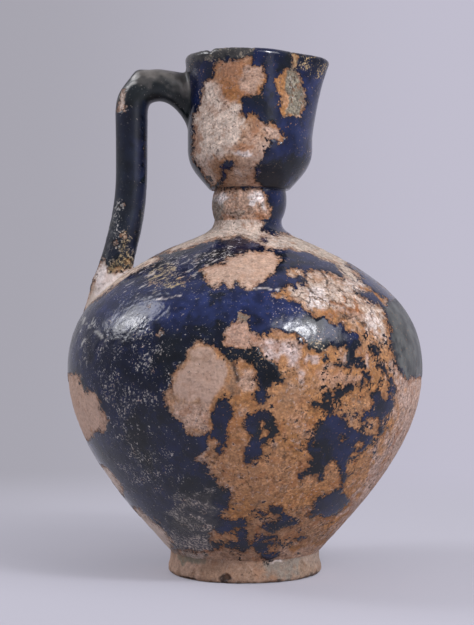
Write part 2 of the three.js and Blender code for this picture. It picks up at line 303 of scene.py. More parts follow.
# Fine relief in the shader, in millimetres
GLAZE_RISE = 0.16
GLAZE_RIPPLE = 0.06
PIT_RISE = 0.1
SCUFF_RISE = 0.22
SPECK_SINK = -0.07
FINE_RISE = 0.16
CRUMB_RISE = 0.18
PORE_SINK = -0.16

# What is drawn on a piece. A flake row says bare or glaze, then its outlines. A row of clay or glaze tones
# says its colour, strength and feather in pixels, then its outlines. A row of wear says its channel, level
# and feather, then its outlines. Each row goes over the rows before it. After the rows come the two clays and
# the two glazes that a piece varies between, whether its front is bare before anything is drawn, how bare its
# far side is, and a seed.
Marks = namedtuple("Marks", "flakes clay_tones glaze_tones wear clay glaze bare_front bare_back seed")


def oval(x, y, half_width, half_height):
    """An upright oval outline, in pixels."""
    turns = np.linspace(0, 2 * math.pi, OVAL_POINTS, endpoint=False)
    return [(x + half_width * math.cos(t), y + half_height * math.sin(t)) for t in turns]


# Flaked areas of the body, with marks on its clay and glaze, in pixels
NECK_BAND = [
    (150, 240), (205, 215), (300, 215), (350, 250), (400, 292), (396, 299), (384, 289), (372, 281),
    (360, 275), (352, 285), (344, 278), (340, 271), (333, 263), (318, 259), (309, 252), (288, 249),
    (268, 249.5), (262, 246), (250, 240), (240, 236.5), (220, 238.5), (200, 243.5), (180, 249.5),
    (160, 254.5),
]
RIGHT_SIDE = [
    (306, 270), (320, 271), (335, 274.5), (344, 280), (352, 266), (400, 290), (430, 330), (435, 400),
    (420, 450), (380, 510), (335, 562), (214, 556), (210, 541), (209, 533), (216, 527), (216, 519),
    (220, 511), (227, 507), (228, 500), (232, 497), (229, 490), (217, 487), (216, 479), (209, 474),
    (206, 465), (195, 460), (201, 453), (206, 446), (204, 437), (225, 390), (250, 340), (262, 336),
    (272, 329), (286, 329), (300, 322), (308, 313), (299, 305), (283, 303), (274, 300), (271, 294),
    (281, 290), (284, 286), (291, 286), (296, 290), (297, 283), (307, 283),
]
PINK_PATCH = [
    (201, 339), (214, 347), (226, 356), (240, 361), (252, 363), (258, 380), (256, 393), (258, 408),
    (240, 440), (212, 434), (199, 436), (186, 433), (181, 424), (171, 415), (163, 399), (163, 392),
    (171, 388), (172, 383), (170, 376), (175, 370), (184, 361), (186, 350), (193, 344),
]
ROUND_PATCH = [
    (222, 345), (222, 339), (226, 329), (230, 324), (237, 322), (246, 322), (252, 331), (262, 336),
    (275, 340), (265, 352), (245, 350), (232, 347),
]
SHOULDER_PATCH = [
    (201, 271), (204, 268), (210, 266), (216, 264), (222, 262), (226, 259), (230, 257), (236, 255),
    (243, 254), (250, 251), (258, 251), (266, 250.5), (272, 251), (276, 255), (281, 259), (279, 263),
    (276, 268), (275, 274), (268, 278), (262, 283), (257, 286), (253, 289), (248, 291), (244, 288),
    (238, 286), (236, 283), (233, 288), (229, 289), (226, 286), (225, 282), (221, 284), (217, 288),
    (211, 287), (206, 283), (203, 278),
]
SMALL_SHOULDER_PATCH = [
    (285, 273), (290, 269), (299, 268), (304, 271), (306, 280), (300, 276), (296, 279), (290, 277),
]
LEFT_EDGE_PATCH = [
    (62, 374), (79, 373), (80, 380), (84, 386), (89, 391), (94, 391), (97, 396), (100, 402), (102, 409),
    (106, 414), (108, 422), (108, 429), (105, 432), (99, 429), (94, 432), (91, 440), (84, 442), (70, 425),
    (60, 400),
]
LOW_LEFT_STRIPS = [
    [
        (90, 460), (103, 465), (110, 470), (116, 477), (121, 483), (124, 490), (124, 499), (112, 497),
        (96, 476),
    ],
    [
        (130, 506), (141, 509), (148, 516), (156, 521), (161, 526), (166, 532), (170, 539), (175, 546),
        (168, 554), (148, 538), (128, 514),
    ],
]
FOOT_LEFT_PATCH = [
    (208, 534), (213, 531), (222, 534), (231, 534), (238, 535), (237, 541), (230, 544), (213, 543),
]
FOOT_BAND = [
    (160, 546), (176, 549), (205, 551), (214, 549.5), (228, 548), (236, 550), (250, 551.5), (262, 555),
    (272, 553), (285, 549), (300, 547), (330, 543), (330, 572), (160, 572),
]
PINK_SMOOTH = [
    (201, 346), (213, 353), (224, 361), (227, 368), (227, 382), (221, 388), (217, 395), (208, 399),
    (180, 402), (174, 395), (175, 384), (180, 373), (190, 364), (191, 352),
]
PINK_LOW = [(169, 402), (182, 404), (206, 402), (211, 408), (209, 432), (186, 430), (175, 416)]
PINK_SEAM = [(230, 361), (241, 364), (240, 394), (231, 397), (228, 388)]
PINK_DABS = [
    [(232.5, 361), (236, 361), (237, 370), (239, 376), (237.5, 381), (234, 380), (233, 372)],
    [(182, 348), (186, 351), (184.5, 359), (182, 367), (178, 370), (181, 362), (182, 354)],
]
PINK_CRACK = [
    (189, 358), (200, 358.4), (209, 356), (216, 350.5), (217, 352), (209, 358), (200, 360.2), (189, 360),
]
PALE_STREAKS = [
    oval(294, 357, 3, 9), oval(306, 359, 2.4, 9), oval(315, 362, 4, 5), oval(283, 351, 7, 8),
    oval(270, 350, 8, 9), oval(302, 376, 2.4, 8), oval(345, 356, 2, 9), oval(367, 364, 2.4, 9),
]
GREY_DOT = oval(242.5, 318, 5, 5.5)
SHOULDER_DOT = oval(160.5, 333, 3.5, 4)
OCHRE_CRUSTS = [
    [
        (146, 277), (150, 270), (158, 266), (167, 262), (176, 267), (181, 274), (190, 280), (184, 284),
        (172, 288), (162, 289), (150, 286),
    ],
    [(150, 292), (158, 291), (168, 294), (164, 297), (154, 296)],
]
LOW_CRUSTS = [
    [(180, 506), (190, 500), (198, 503), (206, 505), (205, 514), (196, 521), (186, 519), (180, 513)],
    [(196, 524), (204, 522), (214, 526), (210, 533), (201, 531)],
    [(184, 530), (196, 532), (208, 538), (212, 546), (204, 553), (190, 552), (182, 548), (188, 540)],
]
GLAZE_SCRATCHES = [
    [(80, 331), (85, 317), (86.4, 318), (81.6, 332)], [(81, 347), (86, 337), (87.2, 338), (82.4, 347.6)],
    [(88, 321), (90.5, 328), (89.4, 328.4), (87, 321.6)], [(96, 330), (107, 341), (106, 342), (95, 331.4)],
    [(92, 325), (95, 318), (96, 318.4), (93.2, 325.4)],
]
ROOT_BAND = [
    (84, 308), (92, 303), (100, 297), (110, 289), (120, 283), (130, 276), (140, 270), (150, 265),
    (162, 257), (140, 254), (120, 255), (95, 265), (80, 290),
]

# Glaze left standing inside those areas, in pixels
CHAIN_UPPER = [
    (219, 343), (226, 347), (232, 347), (240, 351), (250, 350), (257, 348), (259, 353), (264, 359),
    (271, 363), (277, 368), (280, 373), (278, 378), (284, 381), (274, 381), (270, 386), (265, 390),
    (261, 388), (259, 381), (256, 374), (255, 366), (251, 361), (245, 359), (237, 359), (232, 360),
    (228, 357), (222, 350),
]
CHAIN_MIDDLE = [(257, 393), (261, 391), (267, 390), (266, 397), (263, 401), (258, 402), (255, 396)]
CHAIN_LOWER = [
    (251, 415), (258, 411), (264, 412), (270, 416), (275, 422), (277, 428), (276, 434), (272, 438),
    (266, 442), (261, 444), (259, 447), (261, 452), (259, 456), (255, 455), (250, 457), (249, 464),
    (246, 464), (245, 458), (244, 454), (248, 449), (250, 443), (252, 437), (249, 432), (248, 428),
    (244, 426), (244, 422), (248, 418),
]
CHAIN_HOLES = [
    [(260, 421), (263, 420), (265, 424), (263, 429), (260, 428)],
    [(259, 433), (264, 430), (270, 430), (270, 434), (265, 438), (260, 440)],
]
FINGER = [
    (214, 409), (219, 402), (226, 400), (230, 401), (230, 408), (231, 412), (229, 420), (227, 427),
    (226, 434), (225, 442), (226, 446), (222, 446), (219, 439), (212, 436), (213, 424), (213, 416),
]
FINGER_SPOTS = [oval(220, 451, 3, 2.5), oval(213, 482, 4, 4), oval(207, 437, 3, 3)]
HIGHLIGHT_BAND = [
    (270, 296), (300, 304), (306, 314), (311, 317), (318, 321), (325, 317), (328, 324), (334, 326),
    (341, 323), (344, 332), (357, 334), (358, 341), (350, 346), (344, 344), (338, 346), (331, 344),
    (327, 349), (321, 350), (312, 347), (308, 341), (300, 335), (290, 332), (280, 328), (268, 330),
]
DARK_DRIP = [
    (343, 334), (350, 334), (358, 336), (359, 342), (356, 347), (354, 353), (355, 358), (361, 358),
    (361, 366), (357, 367), (354, 364), (351, 367), (347, 365), (349, 357), (348, 349), (345, 343),
]
RIGHT_DROPS = [
    [(370, 346), (374, 345), (375, 350), (377, 354), (374, 355), (371, 350)],
    [(381, 360), (383, 364), (385, 369), (384, 376), (382, 371), (380, 366)],
    [(361, 373), (364, 373), (370, 378), (368, 382), (365, 378), (362, 376)],
    [(363, 412), (367, 411), (368, 415), (366, 420), (363, 421), (362, 417)],
    [(360, 380), (362, 381), (363, 386), (360, 385)], oval(309, 344, 1.6, 3), oval(326, 358, 1.4, 3),
    oval(301, 340, 2, 1.6), oval(339, 365, 3, 2), oval(349, 366, 4, 2.4),
]
RIGHT_BLOB = [
    (371, 393), (377, 390), (380, 393), (380, 399), (384, 401), (389, 401), (391, 396), (390, 388),
    (388, 380), (391, 378), (393, 386), (396, 390), (394, 396), (393, 402), (392, 410), (388, 414),
    (384, 417), (383, 421), (381, 428), (382, 434), (379, 434), (380, 427), (382, 419), (377, 416),
    (373, 418), (368, 416), (367, 412), (371, 408), (372, 400),
]
BROKEN_ROW = [
    [
        (334, 396), (335, 392), (340, 388), (345, 387), (348, 388), (352, 384), (354, 386), (352, 390),
        (346, 392), (341, 395), (337, 398),
    ],
    [(326, 393), (330, 392), (333, 396), (331, 400), (327, 400)],
    [
        (311, 404), (314, 401), (318, 401), (321, 404), (325, 403), (330, 402), (333, 405), (333, 411),
        (330, 413), (327, 410), (323, 408), (319, 406), (315, 407),
    ],
]
STAR = [
    (327, 419), (333, 415), (339, 417), (346, 422), (346, 427), (355, 429), (360, 433), (366, 434),
    (373, 438), (368, 445), (361, 451), (352, 451), (347, 460), (346, 472), (345, 480), (342, 489),
    (343, 478), (340, 467), (337, 459), (331, 459), (326, 465), (321, 472), (322, 479), (319, 481),
    (320, 473), (313, 474), (305, 474), (300, 479), (298, 475), (305, 472), (309, 467), (312, 458),
    (311, 452), (306, 449), (309, 441), (313, 438), (317, 428),
]
STAR_HOLES = [
    oval(343.5, 438, 2.5, 1.6), [(311, 441), (315, 440), (317, 444), (314, 446), (311, 444)],
    [(353, 450), (354, 445), (357, 441), (361, 440), (364, 443), (362, 447), (358, 449)],
]
LOW_ISLAND = [
    (312, 502), (318, 499), (324, 496), (330, 494), (336, 490), (340, 489), (341, 493), (346, 496),
    (349, 501), (346, 504), (341, 509), (336, 512), (330, 516), (325, 517), (322, 514), (314, 515),
    (309, 515), (312, 511), (317, 507), (312, 505),
]
LOW_STAR = [
    (280, 516), (283, 513), (286, 517), (291, 520), (301, 521), (296, 523), (288, 525), (283, 527),
    (277, 530), (267, 531), (262, 528), (267, 524), (274, 524), (279, 523),
]
LOW_SPOTS = [
    [(270, 508), (274, 506), (279, 506), (281, 509), (279, 513), (275, 514), (272, 511)],
    [
        (253, 543), (258, 538), (263, 541), (268, 543), (268, 551), (264, 553), (271, 556), (277, 554),
        (279, 557), (270, 560), (263, 557), (259, 551), (254, 548),
    ],
    [(297, 538), (302, 537), (306, 539), (299, 540)],
    [(258, 511), (264, 515), (267, 515), (262, 516), (257, 514)],
    [(257, 537), (268, 536), (279, 538), (270, 540), (260, 539.5)],
    [(266, 542), (278, 541), (276, 544), (268, 545)],
]
LOW_LEFT_ISLANDS = [
    [
        (213, 516), (222, 520), (232, 521), (241, 520), (242, 517), (244, 521), (249, 525), (243, 527),
        (236, 526), (232, 529), (230, 533), (225, 534), (219, 532), (213, 527),
    ],
    [
        (236, 531), (242, 529), (247, 534), (246, 539), (250, 543), (249, 549), (243, 551), (236, 548),
        (226, 547), (229, 543), (236, 544), (240, 541), (238, 535),
    ],
    [(211, 545), (216, 543), (222, 546), (219, 549), (212, 549)],
    [(222, 490), (228, 490), (232, 497), (229, 497), (225, 493)],
]
NECK_STRIP = [
    (262, 214), (262, 219), (266, 223), (263, 227), (266, 231), (273, 233.5), (281, 234), (290, 232),
    (294, 222), (290, 212),
]
NECK_ISLAND = [(260, 241), (263, 238), (267, 239), (265, 242)]
HORIZON_STRIP = [
    (348, 264), (362, 272), (373, 279), (386, 290), (398, 301), (391, 303), (382, 295), (372, 288),
    (366, 283), (361, 276),
]
GLINT_ISLAND = [
    (356, 292), (363, 294), (368, 293), (374, 294), (378, 300), (384, 308), (377, 304), (370, 300),
    (362, 297),
]
SMOOTH_GREY = [
    (384, 309), (388, 303), (396, 298), (408, 300), (432, 330), (434, 372), (424, 376), (414, 377),
    (408, 379), (404, 375), (401, 370), (397, 366), (394, 358), (392, 350), (391, 338), (391, 325),
    (388, 317),
]
RIGHT_RIM_STRIP = [
    (392, 365), (430, 376), (425, 430), (395, 480), (335, 552), (322, 545), (355, 497), (382, 448),
    (396, 410), (398, 385),
]

# Glints, cracks and streaks of the body, in pixels
GLAZE_GLINTS = [
    [(252, 288), (268, 288.6), (283, 289.6), (283, 290.8), (266, 290), (252, 289.4)],
    [(158, 299), (170, 297), (181, 295.4), (181, 296.6), (170, 298.2), (159, 300)],
    [(145, 277), (150, 274), (156, 271), (156, 272.2), (150, 275.4), (146, 278)],
]
SHOULDER_CRACKS = [
    [(319, 271), (321, 271), (326, 279), (330, 286), (328, 286.6), (324, 280)],
    [(307, 284), (309, 284), (314, 293), (312, 293.6)],
    [(339, 312), (347, 313), (350, 317), (345, 319), (340, 317)],
    [(357, 322), (364, 321), (369, 325), (366, 328), (359, 326)],
]
SHOULDER_STREAKS = [
    [(340, 278), (342.4, 278), (345, 289), (347, 301), (344.6, 301), (342, 290)],
    [(330, 301), (345, 304), (362, 312), (361, 314), (344, 307), (330, 304)],
    [(352, 296), (354, 296), (360, 310), (358, 311)],
]

# Regions of the body that differ in colour or wear, or hold painted light, in pixels
LEFT_SIDE = [(60, 250), (250, 240), (260, 330), (200, 350), (230, 560), (60, 560)]
NECK_BAND_RIGHT = [(285, 235), (350, 248), (395, 290), (350, 285), (300, 256)]
RIGHT_SHOULDER = [(290, 272), (345, 276), (385, 303), (386, 340), (340, 312), (285, 303)]
CRACKLED = [(290, 265), (345, 275), (390, 305), (392, 365), (345, 370), (280, 300)]
SHOULDER_WHITES = [oval(318, 292, 9, 8), oval(313, 303, 11, 6)]
RIGHT_WHITE = oval(372, 322, 7, 12)
UPPER_WHITE = oval(352, 286, 12, 7)
SHOULDER_RUST = oval(338, 314, 26, 4)
MIDDLE_LILAC = oval(284, 350, 24, 12)
RIGHT_ROSE = oval(336, 378, 24, 7)
MIDDLE_ROSE = oval(300, 425, 14, 16)
MIDDLE_BROWN = oval(296, 395, 18, 9)
LEFT_ROSE = oval(240, 425, 8, 16)
PINK_RIGHT = oval(248, 380, 8, 13)
PINK_NOTCH = oval(228, 388, 4, 2.5)
LOW_BROWN = [(246, 512), (330, 516), (330, 556), (246, 556)]
LOW_RIGHT = [(300, 400), (400, 380), (410, 440), (350, 540), (290, 540), (270, 480)]
FOOT_BAND_BROWN = [(204, 549), (262, 549), (262, 575), (204, 575)]
BLUE_BAND = [(150, 296), (300, 290), (300, 322), (200, 328), (150, 322)]
LEFT_DARK = [(100, 330), (230, 325), (240, 360), (160, 420), (100, 400)]
LEFT_SPECKS = [(78, 322), (165, 328), (172, 400), (132, 440), (100, 425), (82, 380)]
LEFT_SPECK_CORE = oval(126, 360, 18, 12)
LOW_LEFT_SPECKS = [(105, 410), (160, 430), (205, 520), (130, 490)]
LEFT_SCUFFS = [(75, 300), (110, 290), (165, 285), (170, 330), (120, 345), (75, 345)]
SHOULDER_SWEEP = [(120, 290), (145, 265), (200, 248), (245, 246), (225, 262), (190, 285), (150, 300)]
SHOULDER_SCUFFS = [(145, 262), (200, 246), (245, 244), (230, 262), (190, 285), (150, 295)]
SHOULDER_SPECKS = [(150, 262), (200, 247), (245, 244), (230, 260), (190, 275)]
CHAIN_CRUMBS = [
    (215, 345), (262, 348), (290, 375), (275, 395), (275, 460), (240, 465), (252, 400), (250, 365),
]
RIGHT_CRUMBS = [(325, 345), (350, 330), (392, 335), (396, 440), (350, 480), (300, 480), (318, 400)]
LOW_CRUMBS = [(205, 505), (300, 510), (300, 556), (205, 556)]
LOW_LEFT_DARK = [(100, 420), (190, 440), (225, 500), (205, 556), (160, 556), (110, 490)]
LOW_CRUST_GLAZE = [(172, 498), (212, 492), (216, 520), (212, 556), (168, 556)]
LOW_CRUST_CLAY = [(165, 495), (212, 492), (211, 528), (207, 556), (160, 556)]
LOW_CRUST_SPECKS = [(172, 498), (212, 490), (214, 556), (170, 556)]
LEFT_SHOULDER_SHEEN = [(100, 285), (150, 268), (200, 262), (210, 300), (150, 330), (100, 330)]
CRUST_ORANGE_RIGHT = oval(184, 279, 7, 4)
CRUST_ORANGE_LEFT = oval(156, 284, 7, 3)
DROPS_DARK = [(296, 338), (346, 346), (362, 336), (398, 338), (392, 388), (350, 408), (300, 410)]
GREEN_SPOT = oval(320, 344, 10, 5)
GREEN_SPECKS = oval(320, 343, 9, 6)

BODY_FLAKES = [
    ("bare", NECK_BAND, RIGHT_SIDE, PINK_PATCH, ROUND_PATCH, SHOULDER_PATCH, SMALL_SHOULDER_PATCH),
    ("bare", LEFT_EDGE_PATCH, *LOW_LEFT_STRIPS, GREY_DOT, SHOULDER_DOT, ROOT_BAND, FOOT_BAND),
    ("glaze", CHAIN_UPPER, CHAIN_MIDDLE, CHAIN_LOWER, FINGER, HIGHLIGHT_BAND, DARK_DRIP, RIGHT_BLOB, STAR),
    ("glaze", LOW_ISLAND, LOW_STAR, NECK_ISLAND, NECK_STRIP, HORIZON_STRIP, GLINT_ISLAND, SMOOTH_GREY),
    ("glaze", *FINGER_SPOTS, *RIGHT_DROPS, *BROKEN_ROW, *LOW_SPOTS, *LOW_LEFT_ISLANDS),
    ("bare", *CHAIN_HOLES, *STAR_HOLES, FOOT_LEFT_PATCH),
]
BODY_CLAY = [
    (SPECK_PALE, 0.85, 20, LEFT_SIDE),
    (CLAY_ORANGE, 0.8, 8, RIGHT_SIDE),
    (BAND_BEIGE, 0.9, 5, NECK_BAND),
    (CLAY_SAND, 0.9, 6, NECK_BAND_RIGHT),
    (CLAY_CREAM, 0.95, 5, ROOT_BAND),
    (CLAY_TAN, 0.9, 5, SHOULDER_PATCH),
    (CLAY_ROSE, 0.9, 4, ROUND_PATCH),
    (CLAY_PALE, 0.95, 8, RIGHT_SHOULDER),
    (CLAY_WHITE, 0.85, 5, *SHOULDER_WHITES),
    (CLAY_WHITE, 0.6, 5, RIGHT_WHITE),
    (CLAY_WHITE, 0.6, 6, UPPER_WHITE),
    (CLAY_RUST, 0.6, 5, SHOULDER_RUST),
    (CLAY_LILAC, 0.45, 8, MIDDLE_LILAC),
    (CLAY_LILAC, 0.7, 4, *PALE_STREAKS),
    (CLAY_ROSE, 0.6, 12, RIGHT_ROSE),
    (CLAY_ROSE, 0.3, 12, MIDDLE_ROSE),
    (CLAY_BROWN, 0.6, 12, MIDDLE_BROWN),
    (CLAY_ROSE, 0.5, 10, LEFT_ROSE),
    (CLAY_ORANGE, 0.7, 3, PINK_PATCH),
    (CLAY_PINK, 0.95, 5, PINK_SMOOTH),
    (CLAY_TAN, 0.9, 4, PINK_LOW),
    (CLAY_BROWN, 0.8, 3, PINK_SEAM),
    (CLAY_TAN, 0.85, 4, PINK_RIGHT),
    (CLAY_BROWN, 0.8, 2, PINK_NOTCH),
    (CLAY_BROWN, 0.6, 1, PINK_CRACK),
    (SOOT_AND_SHADE, 0.9, 1, *PINK_DABS),
    (CLAY_PINK, 0.7, 12, RIGHT_RIM_STRIP),
    (CLAY_LILAC, 0.3, 12, RIGHT_RIM_STRIP),
    (CLAY_BROWN, 0.6, 14, LOW_BROWN),
    (CLAY_PINK, 0.6, 7, FOOT_BAND),
    (CLAY_BROWN, 0.9, 3, FOOT_BAND_BROWN),
    (CLAY_TAN, 0.95, 4, LEFT_EDGE_PATCH),
    (CRUST_OLIVE, 0.9, 2, GREY_DOT),
    (CRUST_GREY, 0.7, 10, LOW_CRUST_CLAY),
    (SPECK_OCHRE, 0.9, 5, *OCHRE_CRUSTS),
    (CLAY_SAND, 0.6, 5, *LOW_CRUSTS),
    # painted light: paler cream lifts the shade that falls on these lower left strips
    (CLAY_CREAM, 0.9, 5, *LOW_LEFT_STRIPS),
    (CLAY_ORANGE, 0.7, 4, CRUST_ORANGE_RIGHT),
    (CLAY_ORANGE, 0.6, 4, CRUST_ORANGE_LEFT),
    (CLAY_WHITE, 0.7, 3, HIGHLIGHT_BAND),
    (SPECK_OCHRE, 0.5, 4, CHAIN_UPPER),
    (SPECK_OCHRE, 0.7, 4, GREEN_SPOT),
    (SOOT_AND_SHADE, 0.9, 1, *SHOULDER_CRACKS),
    (CLAY_RUST, 0.9, 2, *SHOULDER_STREAKS),
]
BODY_GLAZE = [
    (GLAZE_BRIGHT, 0.7, 24, BLUE_BAND),
    (GLAZE_GREY, 1.0, 2, SMOOTH_GREY),
    (GLAZE_BLACK, 0.5, 20, LEFT_DARK),
    (GLAZE_BLACK, 0.35, 20, LOW_LEFT_DARK),
    (GLAZE_CRUST_AND_SHEEN, 0.45, 10, LOW_CRUST_GLAZE),
    # painted reflection: paler blue glaze for the sheen on the left shoulder
    (GLAZE_BRIGHT, 0.5, 12, LEFT_SHOULDER_SHEEN),
    (GLAZE_BLACK, 0.9, 4, CHAIN_UPPER),
    (GLAZE_BLACK, 0.85, 8, DROPS_DARK),
    (GLAZE_GREEN, 0.8, 4, GREEN_SPOT),
    (CLAY_WHITE, 0.9, 1, *GLAZE_GLINTS),
    (SPECK_PALE, 0.9, 1, *GLAZE_SCRATCHES),
]
BODY_WEAR = [
    ("grain", 0.4, 5, ROOT_BAND),
    ("crackle", 1.0, 10, CRACKLED),
    ("streak", 0.3, 8, RIGHT_SIDE),
    ("grain", 1.25, 20, LOW_RIGHT),
    ("matt", 1.0, 2, SMOOTH_GREY),
    ("pits", 0.65, 14, LEFT_SPECKS),
    ("pits", 0.7, 14, LOW_LEFT_SPECKS),
    ("pits", 0.73, 10, LEFT_SPECK_CORE),
    ("pits", 0.45, 4, HIGHLIGHT_BAND),
    ("matt", 0.22, 6, HIGHLIGHT_BAND),
    ("scuff", 1.0, 10, LEFT_SCUFFS),
    ("streak", 0.72, 10, SHOULDER_SWEEP),
    ("scuff", 0.8, 10, SHOULDER_SCUFFS),
    ("grain", 0.35, 5, PINK_SMOOTH),
    ("grain", 0.4, 4, LEFT_EDGE_PATCH),
    ("grain", 0.6, 4, SHOULDER_PATCH),
    ("crumb", 0.9, 6, CHAIN_CRUMBS),
    ("crumb", 1.0, 8, RIGHT_CRUMBS),
    ("crumb", 0.9, 10, LOW_CRUMBS),
    ("pits", 1.2, 10, LOW_CRUST_SPECKS),
    ("pits", 0.7, 8, SHOULDER_SPECKS),
    ("pits", 1.4, 5, *OCHRE_CRUSTS, *LOW_CRUSTS),
    ("streak", 1.0, 5, *OCHRE_CRUSTS),
    ("grain", 0.4, 5, *LOW_LEFT_STRIPS),
    ("pits", 0.5, 4, CHAIN_UPPER),
    ("pits", 0.8, 4, GREEN_SPECKS),
    ("pits", 0.04, 4, STAR),
    ("pits", 0.08, 4, LOW_ISLAND),
]

# Flaked areas of the cup, then regions that differ in colour or wear, in pixels
CUP_PATCH = [
    (213, 67), (219, 58), (223, 62), (231, 61), (238, 60), (246, 57), (250, 56), (253, 64), (262, 66),
    (266, 75), (266, 83), (261, 89), (262, 92), (258, 95), (250, 95), (243, 96), (241, 100), (243, 108),
    (241, 112), (245, 116), (247, 113), (252, 112), (256, 114), (259, 119), (262, 123), (266, 124),
    (272, 121), (276, 122), (279, 128), (281, 133), (285, 138), (281, 143), (278, 144), (274, 141),
    (269, 139), (270, 144), (264, 150), (263, 155), (261, 160), (256, 164), (254, 170), (255, 176),
    (257, 182), (262, 184), (264, 188), (262, 196), (213, 196), (212, 186), (201, 172), (194, 161),
    (193, 150), (193, 130), (193, 114), (196, 112), (198, 107), (200, 104), (201, 97), (202, 90),
    (204, 83), (208, 80), (211, 77),
]
CUP_OLIVE_PATCH = [
    (275, 85), (275, 79), (278, 74), (283, 70), (290, 66), (295, 70), (299, 76), (302, 84), (305, 92),
    (307, 103), (305, 111), (302, 117), (290, 118), (283, 116), (280, 111), (280, 96), (277, 90),
]
CUP_OLIVE_CRUST = [
    (286, 67), (291, 66), (296, 71), (300, 78), (304, 90), (307, 103), (304, 114), (296, 118), (287, 117),
    (289, 105), (288, 92), (284, 80),
]
CUP_HOLE = [(222, 163), (226, 161), (234, 161), (233, 166), (230, 169), (225, 169), (222, 168)]
CUP_CRACK = [(223, 172), (225, 173), (222, 182), (220, 188), (213, 189), (218, 185), (221, 177)]
RIM_WORN = [(289, 53), (297, 54), (296, 64), (294, 70), (290, 66), (291, 59)]
CUP_CREAM = [
    (205, 82), (218, 84), (222, 100), (240, 102), (242, 130), (232, 152), (212, 162), (190, 160), (188, 112),
]
CUP_RUST = [(214, 64), (250, 60), (262, 70), (258, 94), (232, 102), (222, 98), (216, 84)]
CUP_PALE = oval(252, 78, 11, 14)
CUP_MIDDLE_RUST = [(246, 112), (258, 114), (262, 126), (258, 140), (248, 142), (250, 126)]
CUP_PINK = [(262, 122), (276, 122), (284, 138), (276, 144), (264, 138)]
CUP_CONE = [(198, 160), (222, 160), (262, 158), (266, 196), (208, 196)]
CUP_EDGE_RUST = oval(195, 142, 5, 14)
CUP_TURN_RUST = oval(240, 147, 14, 3)
CUP_TURN_WHITE = [(232, 152), (240, 151), (252, 154), (250, 158), (240, 155)]
CONE_PALE = oval(238, 174, 5, 5)
CONE_CREAM = [(198, 158), (206, 160), (218, 186), (212, 188), (202, 172)]
CONE_DARK = [(255, 160), (300, 158), (285, 192), (258, 192)]
CONE_MATT = [(255, 160), (306, 158), (285, 192), (258, 192)]
CONE_CLEAN = [(262, 166), (306, 160), (285, 192), (262, 192)]
RIM_GREEN = [(186, 46), (252, 44), (252, 58), (230, 61), (186, 60)]
RIM_OLIVE = [(200, 44), (252, 44), (248, 58), (214, 62), (202, 60)]
RIM_CRUST = [(186, 44), (252, 44), (250, 57), (214, 60), (188, 60)]
LIP_OCHRE = [(286, 48), (330, 56), (328, 80), (310, 76), (296, 72)]
CUP_BLUE = [(252, 62), (320, 80), (312, 155), (266, 158), (272, 110)]
CUP_MATT = [(250, 60), (320, 70), (312, 160), (262, 160)]
CUP_FLAKES = [
    ("bare", CUP_PATCH, CUP_OLIVE_PATCH),
    ("glaze", CUP_HOLE, CUP_CRACK),
    ("bare", RIM_WORN),
]
CUP_CLAY = [
    (CLAY_CREAM, 1.0, 6, CUP_CREAM),
    (CLAY_RUST, 0.55, 6, CUP_RUST),
    (CLAY_PALE, 0.5, 7, CUP_PALE),
    (CLAY_RUST, 0.5, 4, CUP_MIDDLE_RUST),
    (CLAY_PINK, 0.9, 5, CUP_PINK),
    (CLAY_BROWN, 0.5, 8, CUP_CONE),
    (CLAY_RUST, 0.6, 4, CUP_EDGE_RUST),
    (CLAY_RUST, 0.5, 4, CUP_TURN_RUST),
    (CLAY_PALE, 0.7, 3, CONE_PALE),
    (CLAY_CREAM, 0.6, 3, CONE_CREAM),
    (CLAY_WHITE, 0.8, 2, CUP_TURN_WHITE),
    (CRUST_OLIVE, 0.9, 4, RIM_OLIVE),
    (SPECK_OCHRE, 0.8, 4, LIP_OCHRE),
    (CRUST_OLIVE, 1.0, 3, CUP_OLIVE_CRUST),
]
CUP_GLAZE = [
    (GLAZE_GREEN, 0.9, 4, RIM_GREEN),
    (GLAZE_CRUST_AND_SHEEN, 0.5, 5, RIM_CRUST),
    (GLAZE_BRIGHT, 0.45, 8, CUP_BLUE),
    (GLAZE_BLACK, 0.9, 6, CONE_DARK),
]
CUP_WEAR = [
    ("crumb", 0.25, 8, CUP_PATCH),
    ("grain", 0.8, 8, CUP_PATCH),
    ("streak", 0.3, 8, CUP_PATCH),
    ("grain", 1.4, 3, CUP_OLIVE_CRUST),
    ("crackle", 0.2, 8, CUP_PATCH),
    ("pits", 0.9, 4, RIM_OLIVE),
    ("pits", 0.85, 4, LIP_OCHRE),
    ("matt", 0.3, 8, CUP_MATT),
    ("matt", 0.8, 6, CONE_MATT),
    ("pits", 0.05, 4, CONE_CLEAN),
]

# Flaked area of the collar, then regions that differ in colour or carry painted glints, in pixels
COLLAR_PATCH = [
    (200, 188), (262, 188), (264, 193), (267, 197), (269, 202), (272, 207), (271, 213), (268, 217),
    (262, 219), (261, 223), (265, 229), (270, 236), (200, 244),
]
COLLAR_GLINTS = [
    oval(222, 197, 4, 3), oval(259, 198, 5, 3), oval(263, 206, 3, 4), oval(225, 226, 5, 1.4),
    oval(258, 225, 4, 1.4), oval(252, 203, 3, 3),
]
COLLAR_GREY = [(210, 200), (222, 200), (224, 222), (210, 224)]
COLLAR_GLINT_PATCHES = [
    [(214, 192), (228, 191), (225, 197), (217, 201)],
    [(250, 193), (262, 194), (268, 204), (270, 213), (263, 211), (256, 203)],
]
COLLAR_RUST = [(258, 214), (270, 214), (266, 219), (260, 222)]
COLLAR_LOW_RUST = oval(236, 221, 10, 3)
COLLAR_DULL = oval(238, 213, 12, 4)
COLLAR_FLAKES = [("bare", COLLAR_PATCH)]
